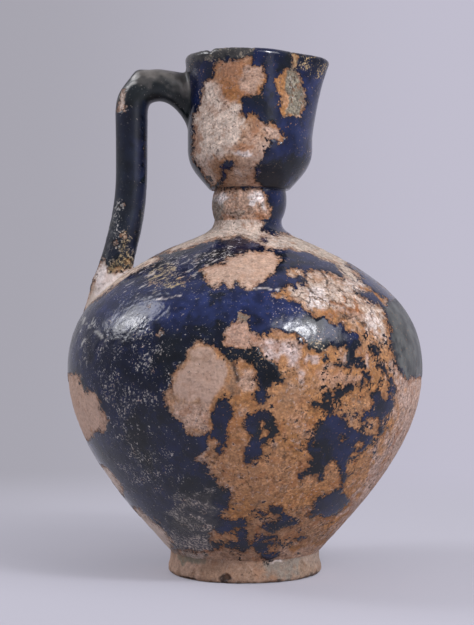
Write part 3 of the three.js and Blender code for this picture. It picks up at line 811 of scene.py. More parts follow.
COLLAR_CLAY = [
    (CLAY_TAN, 0.8, 4, COLLAR_PATCH),
    (CRUST_GREY, 0.9, 4, COLLAR_GREY),
    # painted glints on the collar's top edges
    (CLAY_WHITE, 0.7, 5, *COLLAR_GLINT_PATCHES),
    (CLAY_RUST, 0.6, 3, COLLAR_RUST),
    (CLAY_RUST, 0.5, 3, COLLAR_LOW_RUST),
    (CRUST_GREY, 0.6, 4, COLLAR_DULL),
    (CLAY_WHITE, 0.95, 2, *COLLAR_GLINTS),
]
COLLAR_WEAR = [
    ("grain", 1.25, 4, COLLAR_PATCH),
    ("crumb", 0.2, 4, COLLAR_PATCH),
]

# Worn areas of the handle, then regions that differ in colour or wear or hold painted light, in pixels
KNEE_WEAR = [(117, 109), (119, 102), (121, 92), (126, 90), (127, 96), (126, 104), (125, 111), (119, 112)]
ROOT_WEAR = [
    (80, 310), (96, 272), (102, 256), (106, 264), (109, 273), (119, 271), (129, 268), (135, 263),
    (150, 258), (150, 310),
]
HANDLE_CRUST = [
    (112, 244), (116, 238), (122, 232), (129, 231), (129, 242), (131, 254), (134, 262), (128, 267),
    (118, 271), (108, 273), (107, 266), (113, 258), (119, 253), (114, 249),
]
KNEE_FLAT = [(121, 93), (137, 70.5)]
HANDLE_LUMPS = [oval(116, 244, 3, 5), oval(124, 236, 3.5, 3), oval(127, 262, 5, 3), oval(114, 268, 6, 3)]
HANDLE_WHOLE = [(100, 60), (195, 60), (195, 115), (150, 112), (146, 196), (140, 268), (90, 268)]
HANDLE_MATT = [(105, 60), (195, 60), (195, 115), (150, 112), (146, 196), (134, 262), (100, 262)]
HANDLE_UPPER = [(105, 60), (195, 60), (195, 115), (150, 112), (146, 196), (105, 198)]
ARM_GREEN = [(136, 64), (192, 66), (192, 112), (176, 96), (150, 90), (136, 92)]
ARM_FRONT_SHEEN = [(140, 70), (188, 72), (190, 98), (160, 86), (140, 86)]
ARM_TOP_SHEEN = [(136, 64), (186, 66), (190, 86), (170, 80), (140, 76)]
KNEE_LINE = [(126, 90), (132, 82), (138, 73), (140, 74), (134, 83), (129, 91)]
GRIP_BLUE = [(110, 110), (150, 105), (148, 190), (134, 262), (104, 262), (114, 200)]
GRIP_SHEEN = [(136, 140), (146, 140), (144, 190), (138, 230), (130, 260), (128, 240), (134, 190)]
GRIP_PALE = [(112, 202), (126, 200), (122, 222), (119, 238), (108, 240), (108, 230)]
GRIP_SPECKS = [(112, 202), (126, 200), (122, 222), (122, 246), (108, 250), (108, 230)]
GRIP_DOT = oval(122, 205.5, 2.5, 2.5)
CRUST_PALE = oval(117, 243, 5, 8)
CRUST_BEIGE = oval(124, 236, 4, 3)
ROOT_WHITE = [(96, 286), (104, 266), (112, 273), (130, 269), (126, 282), (100, 297)]
ROOT_EDGE_HIGHLIGHT = [(92, 294), (101, 264), (107, 264), (105, 282), (98, 292)]
HANDLE_FLAKES = [("bare", KNEE_WEAR, ROOT_WEAR, GRIP_DOT, *HANDLE_LUMPS)]
HANDLE_CLAY = [
    (SPECK_PALE, 0.8, 8, HANDLE_WHOLE),
    (CLAY_PALE, 0.8, 3, KNEE_WEAR),
    (BAND_BEIGE, 0.95, 4, ROOT_WEAR),
    (CLAY_WHITE, 0.8, 5, ROOT_WHITE),
    (SPECK_OCHRE, 0.9, 4, HANDLE_CRUST),
    (SPECK_PALE, 0.9, 4, CRUST_PALE),
    (BAND_BEIGE, 0.6, 3, CRUST_BEIGE),
    (SPECK_PALE, 0.9, 4, GRIP_PALE),
    # painted highlight on the pale bare clay at the root's left edge
    (CLAY_WHITE, 0.9, 3, ROOT_EDGE_HIGHLIGHT),
]
HANDLE_GLAZE = [
    (GLAZE_BLUE, 0.25, 8, GRIP_BLUE),
    # painted sheen: a paler blue streak down the grip's right side
    (GLAZE_BRIGHT, 0.2, 5, GRIP_SHEEN),
    (GLAZE_GREEN, 0.9, 6, ARM_GREEN),
    # painted sheen: the arm's front and top paler, where light from above falls on them
    (GLAZE_CRUST_AND_SHEEN, 0.5, 8, ARM_FRONT_SHEEN),
    (GLAZE_CRUST_AND_SHEEN, 1.0, 6, ARM_TOP_SHEEN),
    (SPECK_PALE, 0.8, 2, KNEE_LINE),
]
HANDLE_WEAR = [
    ("grain", 0.4, 4, ROOT_WEAR),
    ("crumb", 1.0, 4, HANDLE_CRUST),
    ("pits", 2.6, 4, HANDLE_CRUST),
    ("grain", 1.3, 4, HANDLE_CRUST),
    ("matt", 0.75, 8, HANDLE_MATT),
    ("pits", 0.8, 4, GRIP_SPECKS),
    ("pits", 0.06, 6, HANDLE_UPPER),
]

# Areas of the foot, which is bare apart from one drip of glaze, in pixels
# Painted shade along the foot's lower edge and beneath it, standing for the contact shadow
FOOT_UNDER_SHADE = [
    (160, 558), (166.5, 563), (168, 570), (175, 575.5), (186, 578.5), (200, 581.5), (225, 583),
    (250, 583.2), (275, 582), (295, 579.5), (310, 575.5), (319, 570.5), (328, 575), (310, 596), (170, 596),
]
FOOT_DRIP = [(260, 551), (272, 556), (280, 553), (272, 560), (264, 558)]
FOOT_WHOLE = [(165, 548), (325, 548), (325, 590), (165, 590)]
FOOT_AROUND = [(160, 545), (330, 545), (330, 595), (160, 595)]
FOOT_LEFT = [(165, 556), (200, 558), (200, 578), (165, 570)]
FOOT_RIGHT = [(290, 550), (325, 548), (322, 575), (290, 582)]
FOOT_CRUST = [(260, 552), (300, 550), (292, 580), (268, 578)]
FOOT_OLIVE = [(174, 546), (206, 546), (203, 563), (180, 563)]
FOOT_WHITE = oval(275, 561, 6, 2)
FOOT_PALE = [(296, 552), (320, 550), (320, 566), (302, 562)]
# Chips along the foot's bottom edge, darkened
DARK_CHIPS = [oval(225, 579, 6, 4), oval(187, 579, 9, 2.5)]
ROUND_CHIP = oval(225, 580, 6, 4)
LONG_CHIP = oval(187, 580, 9, 3)
FOOT_FLAKES = [("glaze", FOOT_DRIP)]
FOOT_CLAY = [
    (CLAY_BROWN, 0.75, 6, FOOT_WHOLE),
    (CLAY_TAN, 0.7, 6, FOOT_LEFT),
    (CRUST_GREY, 0.85, 6, FOOT_CRUST),
    (CRUST_OLIVE, 0.95, 4, FOOT_OLIVE),
    (CLAY_WHITE, 0.6, 2, FOOT_WHITE),
    (CLAY_PALE, 0.3, 4, FOOT_PALE),
    (CRUST_GREY, 0.35, 6, FOOT_RIGHT),
    (SOOT_AND_SHADE, 0.9, 2, *DARK_CHIPS),
    # painted contact shadow along the foot's lower edge
    (SOOT_AND_SHADE, 0.85, 2, FOOT_UNDER_SHADE),
]
FOOT_WEAR = [
    ("grain", 0.5, 4, FOOT_AROUND),
    ("dent", -0.7, 2, ROUND_CHIP),
    ("dent", -0.6, 2, LONG_CHIP),
]

# What is drawn on each piece
WARM_CLAY = (CLAY_ORANGE, CLAY_TAN)
BROWN_CLAY = (CLAY_BROWN, CLAY_PINK)
COBALT = (GLAZE_BLUE, GLAZE_BLACK)
DARK_GLAZE = (GLAZE_BLACK, GLAZE_GREEN)
BODY_MARKS = Marks(BODY_FLAKES, BODY_CLAY, BODY_GLAZE, BODY_WEAR, WARM_CLAY, COBALT, False, 0.05, 1)
CUP_MARKS = Marks(CUP_FLAKES, CUP_CLAY, CUP_GLAZE, CUP_WEAR, WARM_CLAY, COBALT, False, 0.0, 2)
COLLAR_MARKS = Marks(COLLAR_FLAKES, COLLAR_CLAY, [], COLLAR_WEAR, WARM_CLAY, COBALT, False, 0.1, 3)
HANDLE_MARKS = Marks(
    HANDLE_FLAKES, HANDLE_CLAY, HANDLE_GLAZE, HANDLE_WEAR, WARM_CLAY, DARK_GLAZE, False, -0.5, 4
)
FOOT_MARKS = Marks(FOOT_FLAKES, FOOT_CLAY, [], FOOT_WEAR, BROWN_CLAY, COBALT, True, 1.2, 5)

# Nicks along the rim, each with its pixel column, half width and depth, and how far below the rim they reach
RIM_NICKS = [(211, 2.6, 0.9), (200, 9.0, 0.35), (252, 2.0, 0.3)]
NICK_FROM = 4.0
NICK_FULL = 0.5

# How drawn outlines wander: a shift in pixels, then size in millimetres, octaves and a seed for each axis
RAGGED = [(1.5, 4.2, 2, (40, 50)), (1.3, 1.8, 2, (41, 51))]
BENT = (20.0, 15.0, 3, (60, 61))
BENT_FACING = (0.08, -0.2)
FAR_PX = 14.0
ISLAND_GROWTH = 0.8

# How far the drawing goes on past the edge of the view, as the cosine between surface and sight
PAST_EDGE = 0.03
PAST_EDGE_SWING = 0.4
PAST_EDGE_FADE = 0.14

# Seeded patches: size in millimetres, octaves, seed, and the noise levels where they start and are full
EDGE_PATCHES = (24, 3, 19, -0.5, 0.5)
CLAY_PATCHES = (17, 3, 11, -0.5, 0.5)
GLAZE_PATCHES = (13, 3, 12, -0.5, 0.6)
PALE_PATCHES = (21, 2, 13, 0.2, 0.8)
PIT_PATCHES = (15, 3, 14, 0.1, 0.7)
CRACKLE_PATCHES = (20, 2, 15, 0.0, 0.6)
CRUMB_PATCHES = (12, 2, 17, -0.4, 0.4)
WORN_PATCHES = (9, 2, 18, -0.4, 0.4)

# Flaking of the far side, in millimetres
FAR_FLAKES = (26, 3)
FAR_CHIPS = (7, 2, 9)
FAR_CHIP_SHARE = 0.3
FAR_DEPTH = 9.0

# Wear before any tone is laid on
PALE_LEVEL = 0.4
PIT_LEVEL = 0.18
PIT_SWING = 0.5
FRONT_PIT_LOSS = 0.6
CRACKLE_LEVEL = 0.25
GRAIN_LEVEL = 0.9
TONE_BLUR = (2.6, 2, 16)
PLAIN_CHANNELS = ("crumb", "scuff", "streak", "matt", "dent")
COAT_CHANNELS = ("bare", "pits", "crackle", "grain", "crumb", "scuff", "streak", "matt")
COAT_LIMIT = 6.0

# Wear beside flaked edges: depths where it starts and is full, in millimetres, then its level and its patches
EDGE_WEAR = {
    "crumb": ((4.5, 0.4), 0.8, CRUMB_PATCHES),
    "pits": ((-2.2, -0.3), 0.7, WORN_PATCHES),
}

# Lattice of the seeded noise, and the shifts between its seeds and octaves
LATTICE_SIZE = 64
LATTICE_SEED = 20
LATTICE = np.random.default_rng(LATTICE_SEED).random((LATTICE_SIZE,) * 3) * 2 - 1
SEED_SHIFT = 19.7
OCTAVE_SHIFT = 5.3


def smoothstep(low, high, value):
    share = np.clip((value - low) / (high - low), 0, 1)
    return share * share * (3 - 2 * share)


def mix(a, b, share):
    return a + (b - a) * share


def unit(vectors):
    """Vectors brought to length one."""
    return vectors / np.maximum(np.linalg.norm(vectors, axis=-1, keepdims=True), TINY)


def noise(points, size, octaves, seed):
    """Smooth seeded noise, about -1 to 1, with features of a size in millimetres."""
    total = np.zeros(len(points))
    for octave in range(octaves):
        place = points / size * 2**octave + SEED_SHIFT * (seed + 1) + OCTAVE_SHIFT * octave
        cell = np.floor(place).astype(int)
        share = smoothstep(0, 1, place - cell)
        value = np.zeros(len(points))
        for corner in np.ndindex(2, 2, 2):
            weight = np.prod(np.where(corner, share, 1 - share), axis=1)
            x, y, z = ((cell + corner) % LATTICE_SIZE).T
            value += weight * LATTICE[x, y, z]
        total += value * 0.5**octave
    return total


def patches(points, size, octaves, seed, low, high):
    """Soft seeded patches, from nought to one."""
    return smoothstep(low, high, noise(points, size, octaves, seed))


def bezier(start, pull_start, pull_end, end):
    """Points on a cubic curve."""
    t = np.linspace(0, 1, CURVE_STEPS + 1)[:, None]
    points = [np.array(p, float) for p in (start, pull_start, pull_end, end)]
    weights = [(1 - t) ** 3, 3 * t * (1 - t) ** 2, 3 * t * t * (1 - t), t**3]
    return sum(w * p for w, p in zip(weights, points))


def arc(start, pull, end, count):
    """Points, or rows of points, on a quadratic curve."""
    t = np.linspace(0, 1, count).reshape(-1, *[1] * np.ndim(start))
    return (1 - t) ** 2 * start + 2 * t * (1 - t) * pull + t * t * end


def reach(start, distance, degrees):
    """The point a distance away, at an angle above level."""
    angle = math.radians(degrees)
    return start[0] + distance * math.cos(angle), start[1] + distance * math.sin(angle)


def joined(*lines):
    """Lines one after the other, with the points they share kept once."""
    return np.concatenate([lines[0]] + [np.asarray(line, float)[1:] for line in lines[1:]])


def spaced(line, step):
    """A line of points spread evenly along another, about a step apart."""
    line = np.asarray(line, float)
    way = np.concatenate([[0], np.cumsum(np.linalg.norm(np.diff(line, axis=0), axis=1))])
    count = max(2, int(round(way[-1] / step)) + 1)
    at = np.linspace(0, way[-1], count)
    return np.stack([np.interp(at, way, axis) for axis in line.T], axis=1)


def offset(line, distance):
    """A line moved sideways, to the left of travel by a positive distance."""
    along = unit(np.gradient(line, axis=0))
    return line + distance * np.stack([-along[:, 1], along[:, 0]], axis=1)


def lower_line():
    start, end = (FOOT_WAIST, BASE_Z), (BELLY_RADIUS, BELLY_Z)
    return bezier(start, reach(start, LOWER_PULL, LOWER_SLOPE), (end[0], end[1] - BELLY_PULL_DOWN), end)


def upper_line():
    belly, shoulder, neck = (BELLY_RADIUS, BELLY_Z), (SHOULDER_RADIUS, SHOULDER_Z), (NECK_RADIUS, NECK_Z)
    dome = bezier(
        belly, (belly[0], belly[1] + BELLY_PULL_UP), reach(shoulder, SHOULDER_PULL, -SHOULDER_SLOPE), shoulder
    )
    fillet = bezier(
        shoulder, reach(shoulder, FILLET_PULL, 180 - SHOULDER_SLOPE), (neck[0], neck[1] - NECK_RISE), neck
    )
    return joined(dome, fillet)


def cup_line():
    """The cup's outside, with a small ledge first, where its cone stands out over the collar."""
    base, turn = (CUP_WAIST + CUP_LEDGE, CUP_Z), (CUP_RADIUS, CUP_Z + CUP_TURN)
    rim = (CUP_RADIUS + RIM_FLARE, RIM_Z - CUP_WALL / 2)
    wall = (rim[1] - turn[1]) / 2
    cone = bezier(base, reach(base, CUP_CONE_PULL, CUP_CONE_SLOPE), (turn[0], turn[1] - CUP_ROUND_PULL), turn)
    side = bezier(turn, (turn[0], turn[1] + wall), (turn[0], rim[1] - wall / 2), rim)
    return joined([(CUP_WAIST, CUP_Z), base], cone, side)


def lean_at(height):
    """How far the neck's lean moves a level circle towards the lip."""
    return NECK_LEAN * smoothstep(LEAN_FROM_Z, LEAN_TO_Z, height)


def lean(points):
    """Points of an upright piece, moved by the neck's lean."""
    moved = points.copy()
    moved[..., 0] += lean_at(points[..., 2])
    return moved


def pull_lip(points):
    """The rim drawn out to a lip, with pressed flanks and a slight tilt."""
    x, y, z = np.moveaxis(points, -1, 0)
    pull = np.clip(1 - (RIM_Z - z) / LIP_START, 0, None) ** LIP_CURVE
    radius = np.hypot(x, y)
    away = np.abs(np.degrees(np.arctan2(y, x)))
    lip = LIP_REACH * np.exp(-((away / LIP_SPREAD) ** 2))
    pinch = LIP_PINCH * np.exp(-(((away - LIP_PINCH_AT) / LIP_PINCH_SPREAD) ** 2))
    grow = 1 + pull * (lip - pinch) / CUP_RADIUS
    return np.stack([x * grow, y * grow, z - pull * math.tan(math.radians(RIM_TILT)) * x], axis=-1)


def column_turns(count):
    """Angles of a round piece's columns, closer together on the side that faces the camera."""
    turns = np.linspace(0, 2 * math.pi, PACE_STEPS * count + 1)
    paced = turns + FRONT_SHARE * np.sin(turns)
    return np.interp(np.linspace(0, 2 * math.pi, count, endpoint=False), paced, turns) - math.pi / 2


def revolve(line, turns):
    """Rings of points about the axis, one for each point of a line of radius and height."""
    radius, height = np.asarray(line, float).T
    flat = np.stack([np.cos(turns), np.sin(turns)], axis=1)
    rings = np.empty((len(radius), len(turns), 3))
    rings[..., :2] = radius[:, None, None] * flat
    rings[..., 2] = height[:, None]
    return rings


def grid_normals(rings):
    """Unit normals of rings of points, outwards where the rings climb."""
    along = np.gradient(rings, axis=0)
    around = np.roll(rings, -1, axis=1) - np.roll(rings, 1, axis=1)
    return unit(np.cross(around, along))


def seen_at(points):
    """Where points appear in the photograph, in pixels."""
    away = points - CAMERA_AT
    return PHOTO_MIDDLE + FOCAL_PX * away[:, ::2] / away[:, 1:2] * (1, -1)


def depth_inside(places, outline):
    """Distance of pixel places from an outline, positive inside and negative outside, up to a limit."""
    corners = np.asarray(outline, float)
    depth = np.full(len(places), -FAR_PX)
    near = np.all((places > corners.min(0) - FAR_PX) & (places < corners.max(0) + FAR_PX), axis=1)
    spots = places[near]
    squared = np.full(len(spots), FAR_PX**2)
    inside = np.zeros(len(spots), bool)
    for a, b in zip(corners, np.roll(corners, -1, axis=0)):
        edge = b - a
        share = np.clip((spots - a) @ edge / (edge @ edge), 0, 1)
        squared = np.minimum(squared, ((spots - a - share[:, None] * edge) ** 2).sum(1))
        if edge[1]:
            spans = (a[1] > spots[:, 1]) != (b[1] > spots[:, 1])
            inside ^= spans & (spots[:, 0] < a[0] + (spots[:, 1] - a[1]) * edge[0] / edge[1])
    depth[near] = np.where(inside, 1, -1) * np.sqrt(squared)
    return depth


def drawn_places(points, facing):
    """Where points appear in the photograph, moved a little so that drawn edges come out ragged."""
    def wander(size, octaves, seeds):
        return np.stack([noise(points, size, octaves, seed) for seed in seeds], axis=1)

    places = seen_at(points)
    for shift, *pattern in RAGGED:
        places += shift * wander(*pattern)
    shift, *pattern = BENT
    return places + (shift * smoothstep(*BENT_FACING, facing))[:, None] * wander(*pattern)


def bare_depth(points, places, front, marks):
    """How far points lie inside bare clay, in millimetres, as drawn in front and by noise behind."""
    depth = np.full(len(points), FAR_PX if marks.bare_front else -FAR_PX)
    for kind, *outlines in marks.flakes:
        for outline in outlines:
            inside = depth_inside(places, outline)
            if kind == "bare":
                depth = np.maximum(depth, inside)
            else:
                depth = np.minimum(depth, -inside - ISLAND_GROWTH)
    chips = FAR_CHIP_SHARE * noise(points, *FAR_CHIPS)
    far_side = FAR_DEPTH * (noise(points, *FAR_FLAKES, marks.seed) + chips + marks.bare_back)
    return mix(far_side, depth * PX, front)


def plain_coat(points, front, marks):
    """Colours and wear before any tone is laid on."""
    kinds = (CLAY_PATCHES, GLAZE_PATCHES, PALE_PATCHES)
    patchy, dusky, pale = (patches(points, *kind)[:, None] for kind in kinds)
    coat = {channel: np.zeros(len(points)) for channel in PLAIN_CHANNELS}
    coat["clay"] = mix(mix(*marks.clay, patchy), CLAY_PALE, PALE_LEVEL * pale)
    coat["glaze"] = mix(*marks.glaze, dusky)
    coat["pits"] = PIT_LEVEL + PIT_SWING * patches(points, *PIT_PATCHES) * (1 - FRONT_PIT_LOSS * front)
    coat["crackle"] = CRACKLE_LEVEL * patches(points, *CRACKLE_PATCHES)
    coat["grain"] = np.full(len(points), GRAIN_LEVEL)
    return coat


def lay_tones(coat, points, places, front, marks):
    """Lays the drawn tones and wear on a coat, each over the ones before it."""
    rows = [("clay", *row) for row in marks.clay_tones] + [("glaze", *row) for row in marks.glaze_tones]
    rows += [(channel, level, 1.0, *row) for channel, level, *row in marks.wear]
    blur = noise(points, *TONE_BLUR)
    for channel, value, strength, feather, *outlines in rows:
        for outline in outlines:
            inside = depth_inside(places, outline) + feather * blur
            share = strength * front * smoothstep(-feather / 2, feather / 2, inside)
            share = share[:, None] if np.ndim(value) else share
            coat[channel] = mix(coat[channel], value, share)


def paint(points, normals, marks, outside):
    """What covers each point: how far it lies inside bare clay, its colours and its wear."""
    sight = points - CAMERA_AT
    facing = -(normals * sight).sum(1) / np.linalg.norm(sight, axis=1)
    beyond = PAST_EDGE + PAST_EDGE_SWING * patches(points, *EDGE_PATCHES)
    front = smoothstep(-beyond - PAST_EDGE_FADE, -beyond, facing) * outside
    places = drawn_places(points, facing)
    coat = plain_coat(points, front, marks)
    coat["bare"] = bare_depth(points, places, front, marks)
    lay_tones(coat, points, places, front, marks)
    for channel, (near, level, kind) in EDGE_WEAR.items():
        worn = smoothstep(*near, coat["bare"]) * patches(points, *kind)
        coat[channel] = np.maximum(coat[channel], level * worn)
    return coat


def relief(points, coat):
    """How far the surface stands off the plain curve, in millimetres."""
    glazed = smoothstep(FLAKE_EDGE, -FLAKE_EDGE, coat["bare"])
    waves = WAVES * noise(points, *WAVE_NOISE)
    grain = CLAY_GRAIN * (1 - glazed) * noise(points, *GRAIN_NOISE)
    pitted = PIT_GRAIN * glazed * coat["pits"] * noise(points, *PIT_NOISE)
    return GLAZE_THICKNESS * (glazed - 0.5) + waves + grain + pitted + coat["dent"]


def dress(rings, marks, outside):
    """Rings with their relief, the normals of the result, and what covers each point."""
    normals = grid_normals(rings)
    points, ways = rings.reshape(-1, 3), normals.reshape(-1, 3)
    coat = paint(points, ways, marks, np.repeat(outside.astype(float), rings.shape[1]))
    raised = (points + ways * relief(points, coat)[:, None]).reshape(rings.shape)
    return raised, grid_normals(raised), coat


def ring_faces(rows, columns, closes):
    """Corners of the faces between rings, and of the fans that close open ends."""
    step = np.arange(columns)
    after = (step + 1) % columns
    first = np.arange(rows if closes else rows - 1)[:, None]
    low, high = first * columns, (first + 1) % rows * columns
    quads = np.stack([low + step, low + after, high + after, high + step], axis=2).reshape(-1, 4)
    if closes:
        return quads, np.empty((0, 3), int)
    last = (rows - 1) * columns
    foot, head = (np.full(columns, rows * columns + end) for end in range(2))
    fans = [np.stack([foot, after, step], axis=1), np.stack([head, last + step, last + after], axis=1)]
    return quads, np.concatenate(fans)


def skin_mesh(name, rings, normals, ends=None):
    """A closed mesh through rings of points. It closes on itself, or on a point at each end.
    Normals are given for the first rings, and the rest are left to the mesh."""
    rows, columns = rings.shape[:2]
    quads, fans = ring_faces(rows, columns, ends is None)
    points = rings.reshape(-1, 3)
    if ends is not None:
        points = np.concatenate([points, ends])
    corners = np.concatenate([quads.ravel(), fans.ravel()])
    starts = np.concatenate([np.arange(len(quads)) * 4, quads.size + np.arange(len(fans)) * 3])
    mesh = bpy.data.meshes.new("ware_" + name)
    mesh.vertices.add(len(points))
    mesh.vertices.foreach_set("co", (points * MM).ravel())
    mesh.loops.add(len(corners))
    mesh.loops.foreach_set("vertex_index", corners)
    mesh.polygons.add(len(starts))
    mesh.polygons.foreach_set("loop_start", starts)
    mesh.update(calc_edges=True)
    mesh.polygons.foreach_set("use_smooth", np.ones(len(starts), bool))
    mesh.set_sharp_from_angle(angle=math.radians(SHARP_ANGLE))
    lay_out(mesh, rings, ends is None)
    given = np.zeros((len(corners), 3))
    whole = (len(normals) - 1) * columns
    given[: whole * 4] = normals.reshape(-1, 3)[quads[:whole].ravel()]
    mesh.normals_split_custom_set(given)
    return mesh


def lay_out(mesh, rings, closes):
    """A flat layout for baking: columns across, rings upwards in proportion to their spacing."""
    columns = rings.shape[1]
    loop = np.concatenate([rings, rings[:1]]) if closes else rings
    gaps = np.linalg.norm(np.diff(loop[:, 0], axis=0), axis=1)
    low, high = LAYOUT_MARGIN, 1 - LAYOUT_MARGIN
    height = low + (high - low) * np.concatenate([[0], np.cumsum(gaps)]) / gaps.sum()
    across = np.linspace(0, 1, columns + 1)
    row, column = np.divmod(np.arange(len(gaps) * columns), columns)
    u = np.stack([across[column], across[column + 1], across[column + 1], across[column]], axis=1)
    v = np.stack([height[row], height[row], height[row + 1], height[row + 1]], axis=1)
    places = [np.stack([u.ravel(), v.ravel()], axis=1)]
    if not closes:
        left, right = across[:-1], across[1:]
        middle = (left + right) / 2
        for tip, base, first, second in ((0, low, right, left), (1, high, left, right)):
            fan = np.stack([middle, first, second], axis=1)
            rise = np.broadcast_to([tip, base, base], fan.shape)
            places.append(np.stack([fan, rise], axis=2).reshape(-1, 2))
    layer = mesh.uv_layers.new(name="OFBake")
    layer.data.foreach_set("uv", np.concatenate(places).ravel())


def give_coat(mesh, coat):
    """Writes what covers each point as attributes. Points with no coat of their own stay plain clay."""
    count = len(mesh.vertices)
    for channel in COAT_CHANNELS:
        values = np.full(count, COAT_LIMIT if channel == "bare" else 0.0)
        values[: len(coat[channel])] = np.clip(coat[channel], -COAT_LIMIT, COAT_LIMIT)
        mesh.attributes.new(channel, "FLOAT", "POINT").data.foreach_set("value", values)
    for channel, plain_colour in (("clay", CLAY_TAN), ("glaze", GLAZE_BLUE)):
        colours = np.ones((count, 4))
        colours[:, :3] = plain_colour
        colours[: len(coat[channel]), :3] = coat[channel]
        mesh.attributes.new(channel, "FLOAT_COLOR", "POINT").data.foreach_set("color", colours.ravel())


def place(mesh, material, slot, *nodes):
    """Puts a mesh in the scene as the piece that stands for these nodes."""
    mesh.materials.append(material)
    piece = bpy.data.objects.new(mesh.name, mesh)
    bpy.context.scene.collection.objects.link(piece)
    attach(piece, "root")
    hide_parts(*nodes)
    return piece


def turned_piece(name, outer, rest, columns, marks, shape, ends=None, beyond=(None, None), hidden=0):
    """A round piece: fine rings along its outer line, then plain rings along the rest of its outline.
    The points beyond each end of the outer line are those of the neighbour that continues it. The last
    hidden rings of the outer line are inside the vessel and take no drawn marks."""
    turns = column_turns(columns)
    before = 2 * outer[0] - outer[1] if beyond[0] is None else beyond[0]
    behind = 2 * outer[-1] - outer[-2] if beyond[1] is None else beyond[1]
    line = np.concatenate([[before], outer, [behind]])
    outside = np.arange(len(line)) < len(line) - hidden
    raised, normals, coat = dress(shape(revolve(line, turns)), marks, outside)
    keep = slice(columns, -columns)
    coat = {channel: values[keep] for channel, values in coat.items()}
    rings = raised[1:-1]
    if len(rest):
        rings = np.concatenate([rings, shape(revolve(rest, turns))])
    mesh = skin_mesh(name, rings, normals[1:-1], ends)
    give_coat(mesh, coat)
    return mesh


# Shader graphs
class Graph:
    """Adds nodes to a material by short calls. A call returns the socket that the next one takes."""

    def __init__(self, name=None, tree=None):
        if tree is None:
            self.material = bpy.data.materials.new(name)
            self.material.use_nodes = True
            tree = self.material.node_tree
            self.shader = tree.nodes["Principled BSDF"]
        self.tree = tree
        spot = self.node("TexCoord", {}, "Object" if name else "Generated")
        self.place = self.shade(spot, 1 / MM)

    def node(self, kind, inputs, output=0, **settings):
        """Adds a node, with its settings and what goes into it, and gives one of its outputs."""
        node = self.tree.nodes.new("ShaderNode" + kind)
        for name, value in settings.items():
            setattr(node, name, value)
        for key, source in inputs.items():
            self.link(source, node.inputs[key])
        return node.outputs[output]

    def link(self, source, socket):
        if isinstance(source, bpy.types.NodeSocket):
            self.tree.links.new(source, socket)
        elif np.ndim(source) and len(socket.default_value) == 4:
            socket.default_value = (*source, 1.0)
        else:
            socket.default_value = source

    def attribute(self, name, output="Fac"):
        return self.node("Attribute", {}, output, attribute_name=name)

    def noise(self, size, detail, roughness, place=None, output="Fac"):
        """Noise from 0 to 1 with features of a size in millimetres."""
        inputs = {"Vector": place or self.place, "Scale": 1 / size, "Detail": detail, "Roughness": roughness}
        return self.node("TexNoise", inputs, output)

    def spots(self, size, detail, roughness, *span):
        """Noise mapped smoothly between two levels."""
        return self.span(self.noise(size, detail, roughness), *span)

    def strokes(self):
        """Places that change quickly across slanting strokes and slowly along them."""
        x, y, z = (self.channel(self.place, k) for k in range(3))
        along = self.times(self.add(x, y), STROKE_DRIFT)
        return self.node("CombineXYZ", {0: along, 1: self.weigh(z, (x, STROKE_SLANT))})

    def cracks(self, size):
        """Distance from a wandering net of cracks, with meshes of a size in millimetres."""
        wander = self.shade(self.noise(size / 2, *CRACK_WANDER, output="Color"), size)
        moved = self.node("VectorMath", {0: self.place, 1: wander}, operation="ADD")
        inputs = {"Vector": moved, "Scale": 1 / size}
        return self.node("TexVoronoi", inputs, "Distance", feature="DISTANCE_TO_EDGE")

    def math(self, operation, a, b=0.0):
        return self.node("Math", {0: a, 1: b}, operation=operation)

    def add(self, a, b):
        return self.math("ADD", a, b)

    def times(self, a, b):
        return self.math("MULTIPLY", a, b)

    def weigh(self, start, *parts):
        """A start value plus each pattern times its weight."""
        for pattern, weight in parts:
            start = self.add(start, self.times(pattern, weight))
        return start

    def length(self, a, b):
        return self.math("SQRT", self.add(self.times(a, a), self.times(b, b)))

    def span(self, value, low, high, start=0.0, end=1.0):
        """Value mapped smoothly from low..high to start..end."""
        inputs = dict(enumerate((value, low, high, start, end)))
        return self.node("MapRange", inputs, interpolation_type="SMOOTHSTEP")

    def channel(self, colour, which):
        return self.node("SeparateColor", {0: colour}, which)

    def blend(self, share, a, b):
        """Two colours mixed. A Mix node takes colours at its inputs 6 and 7 and gives one at its output 2."""
        return self.node("Mix", {"Factor": share, 6: a, 7: b}, 2, data_type="RGBA")

    def shade(self, colour, value):
        """A colour or a place times a factor."""
        return self.node("VectorMath", {0: colour, "Scale": value}, operation="SCALE")

    def seen_directly(self):
        """One for rays from the camera, a reflection or a clear body, and nought for light."""
        rays = self.tree.nodes.new("ShaderNodeLightPath").outputs
        seen = self.math("MAXIMUM", rays["Is Camera Ray"], rays["Is Glossy Ray"])
        return self.math("MAXIMUM", seen, rays["Is Transmission Ray"])

    def end_in(self, output, share, first, second):
        """Ends the graph in two shaders mixed by a share."""
        mixed = self.node("MixShader", {0: share, 1: first, 2: second})
        self.link(mixed, self.tree.nodes[output].inputs["Surface"])


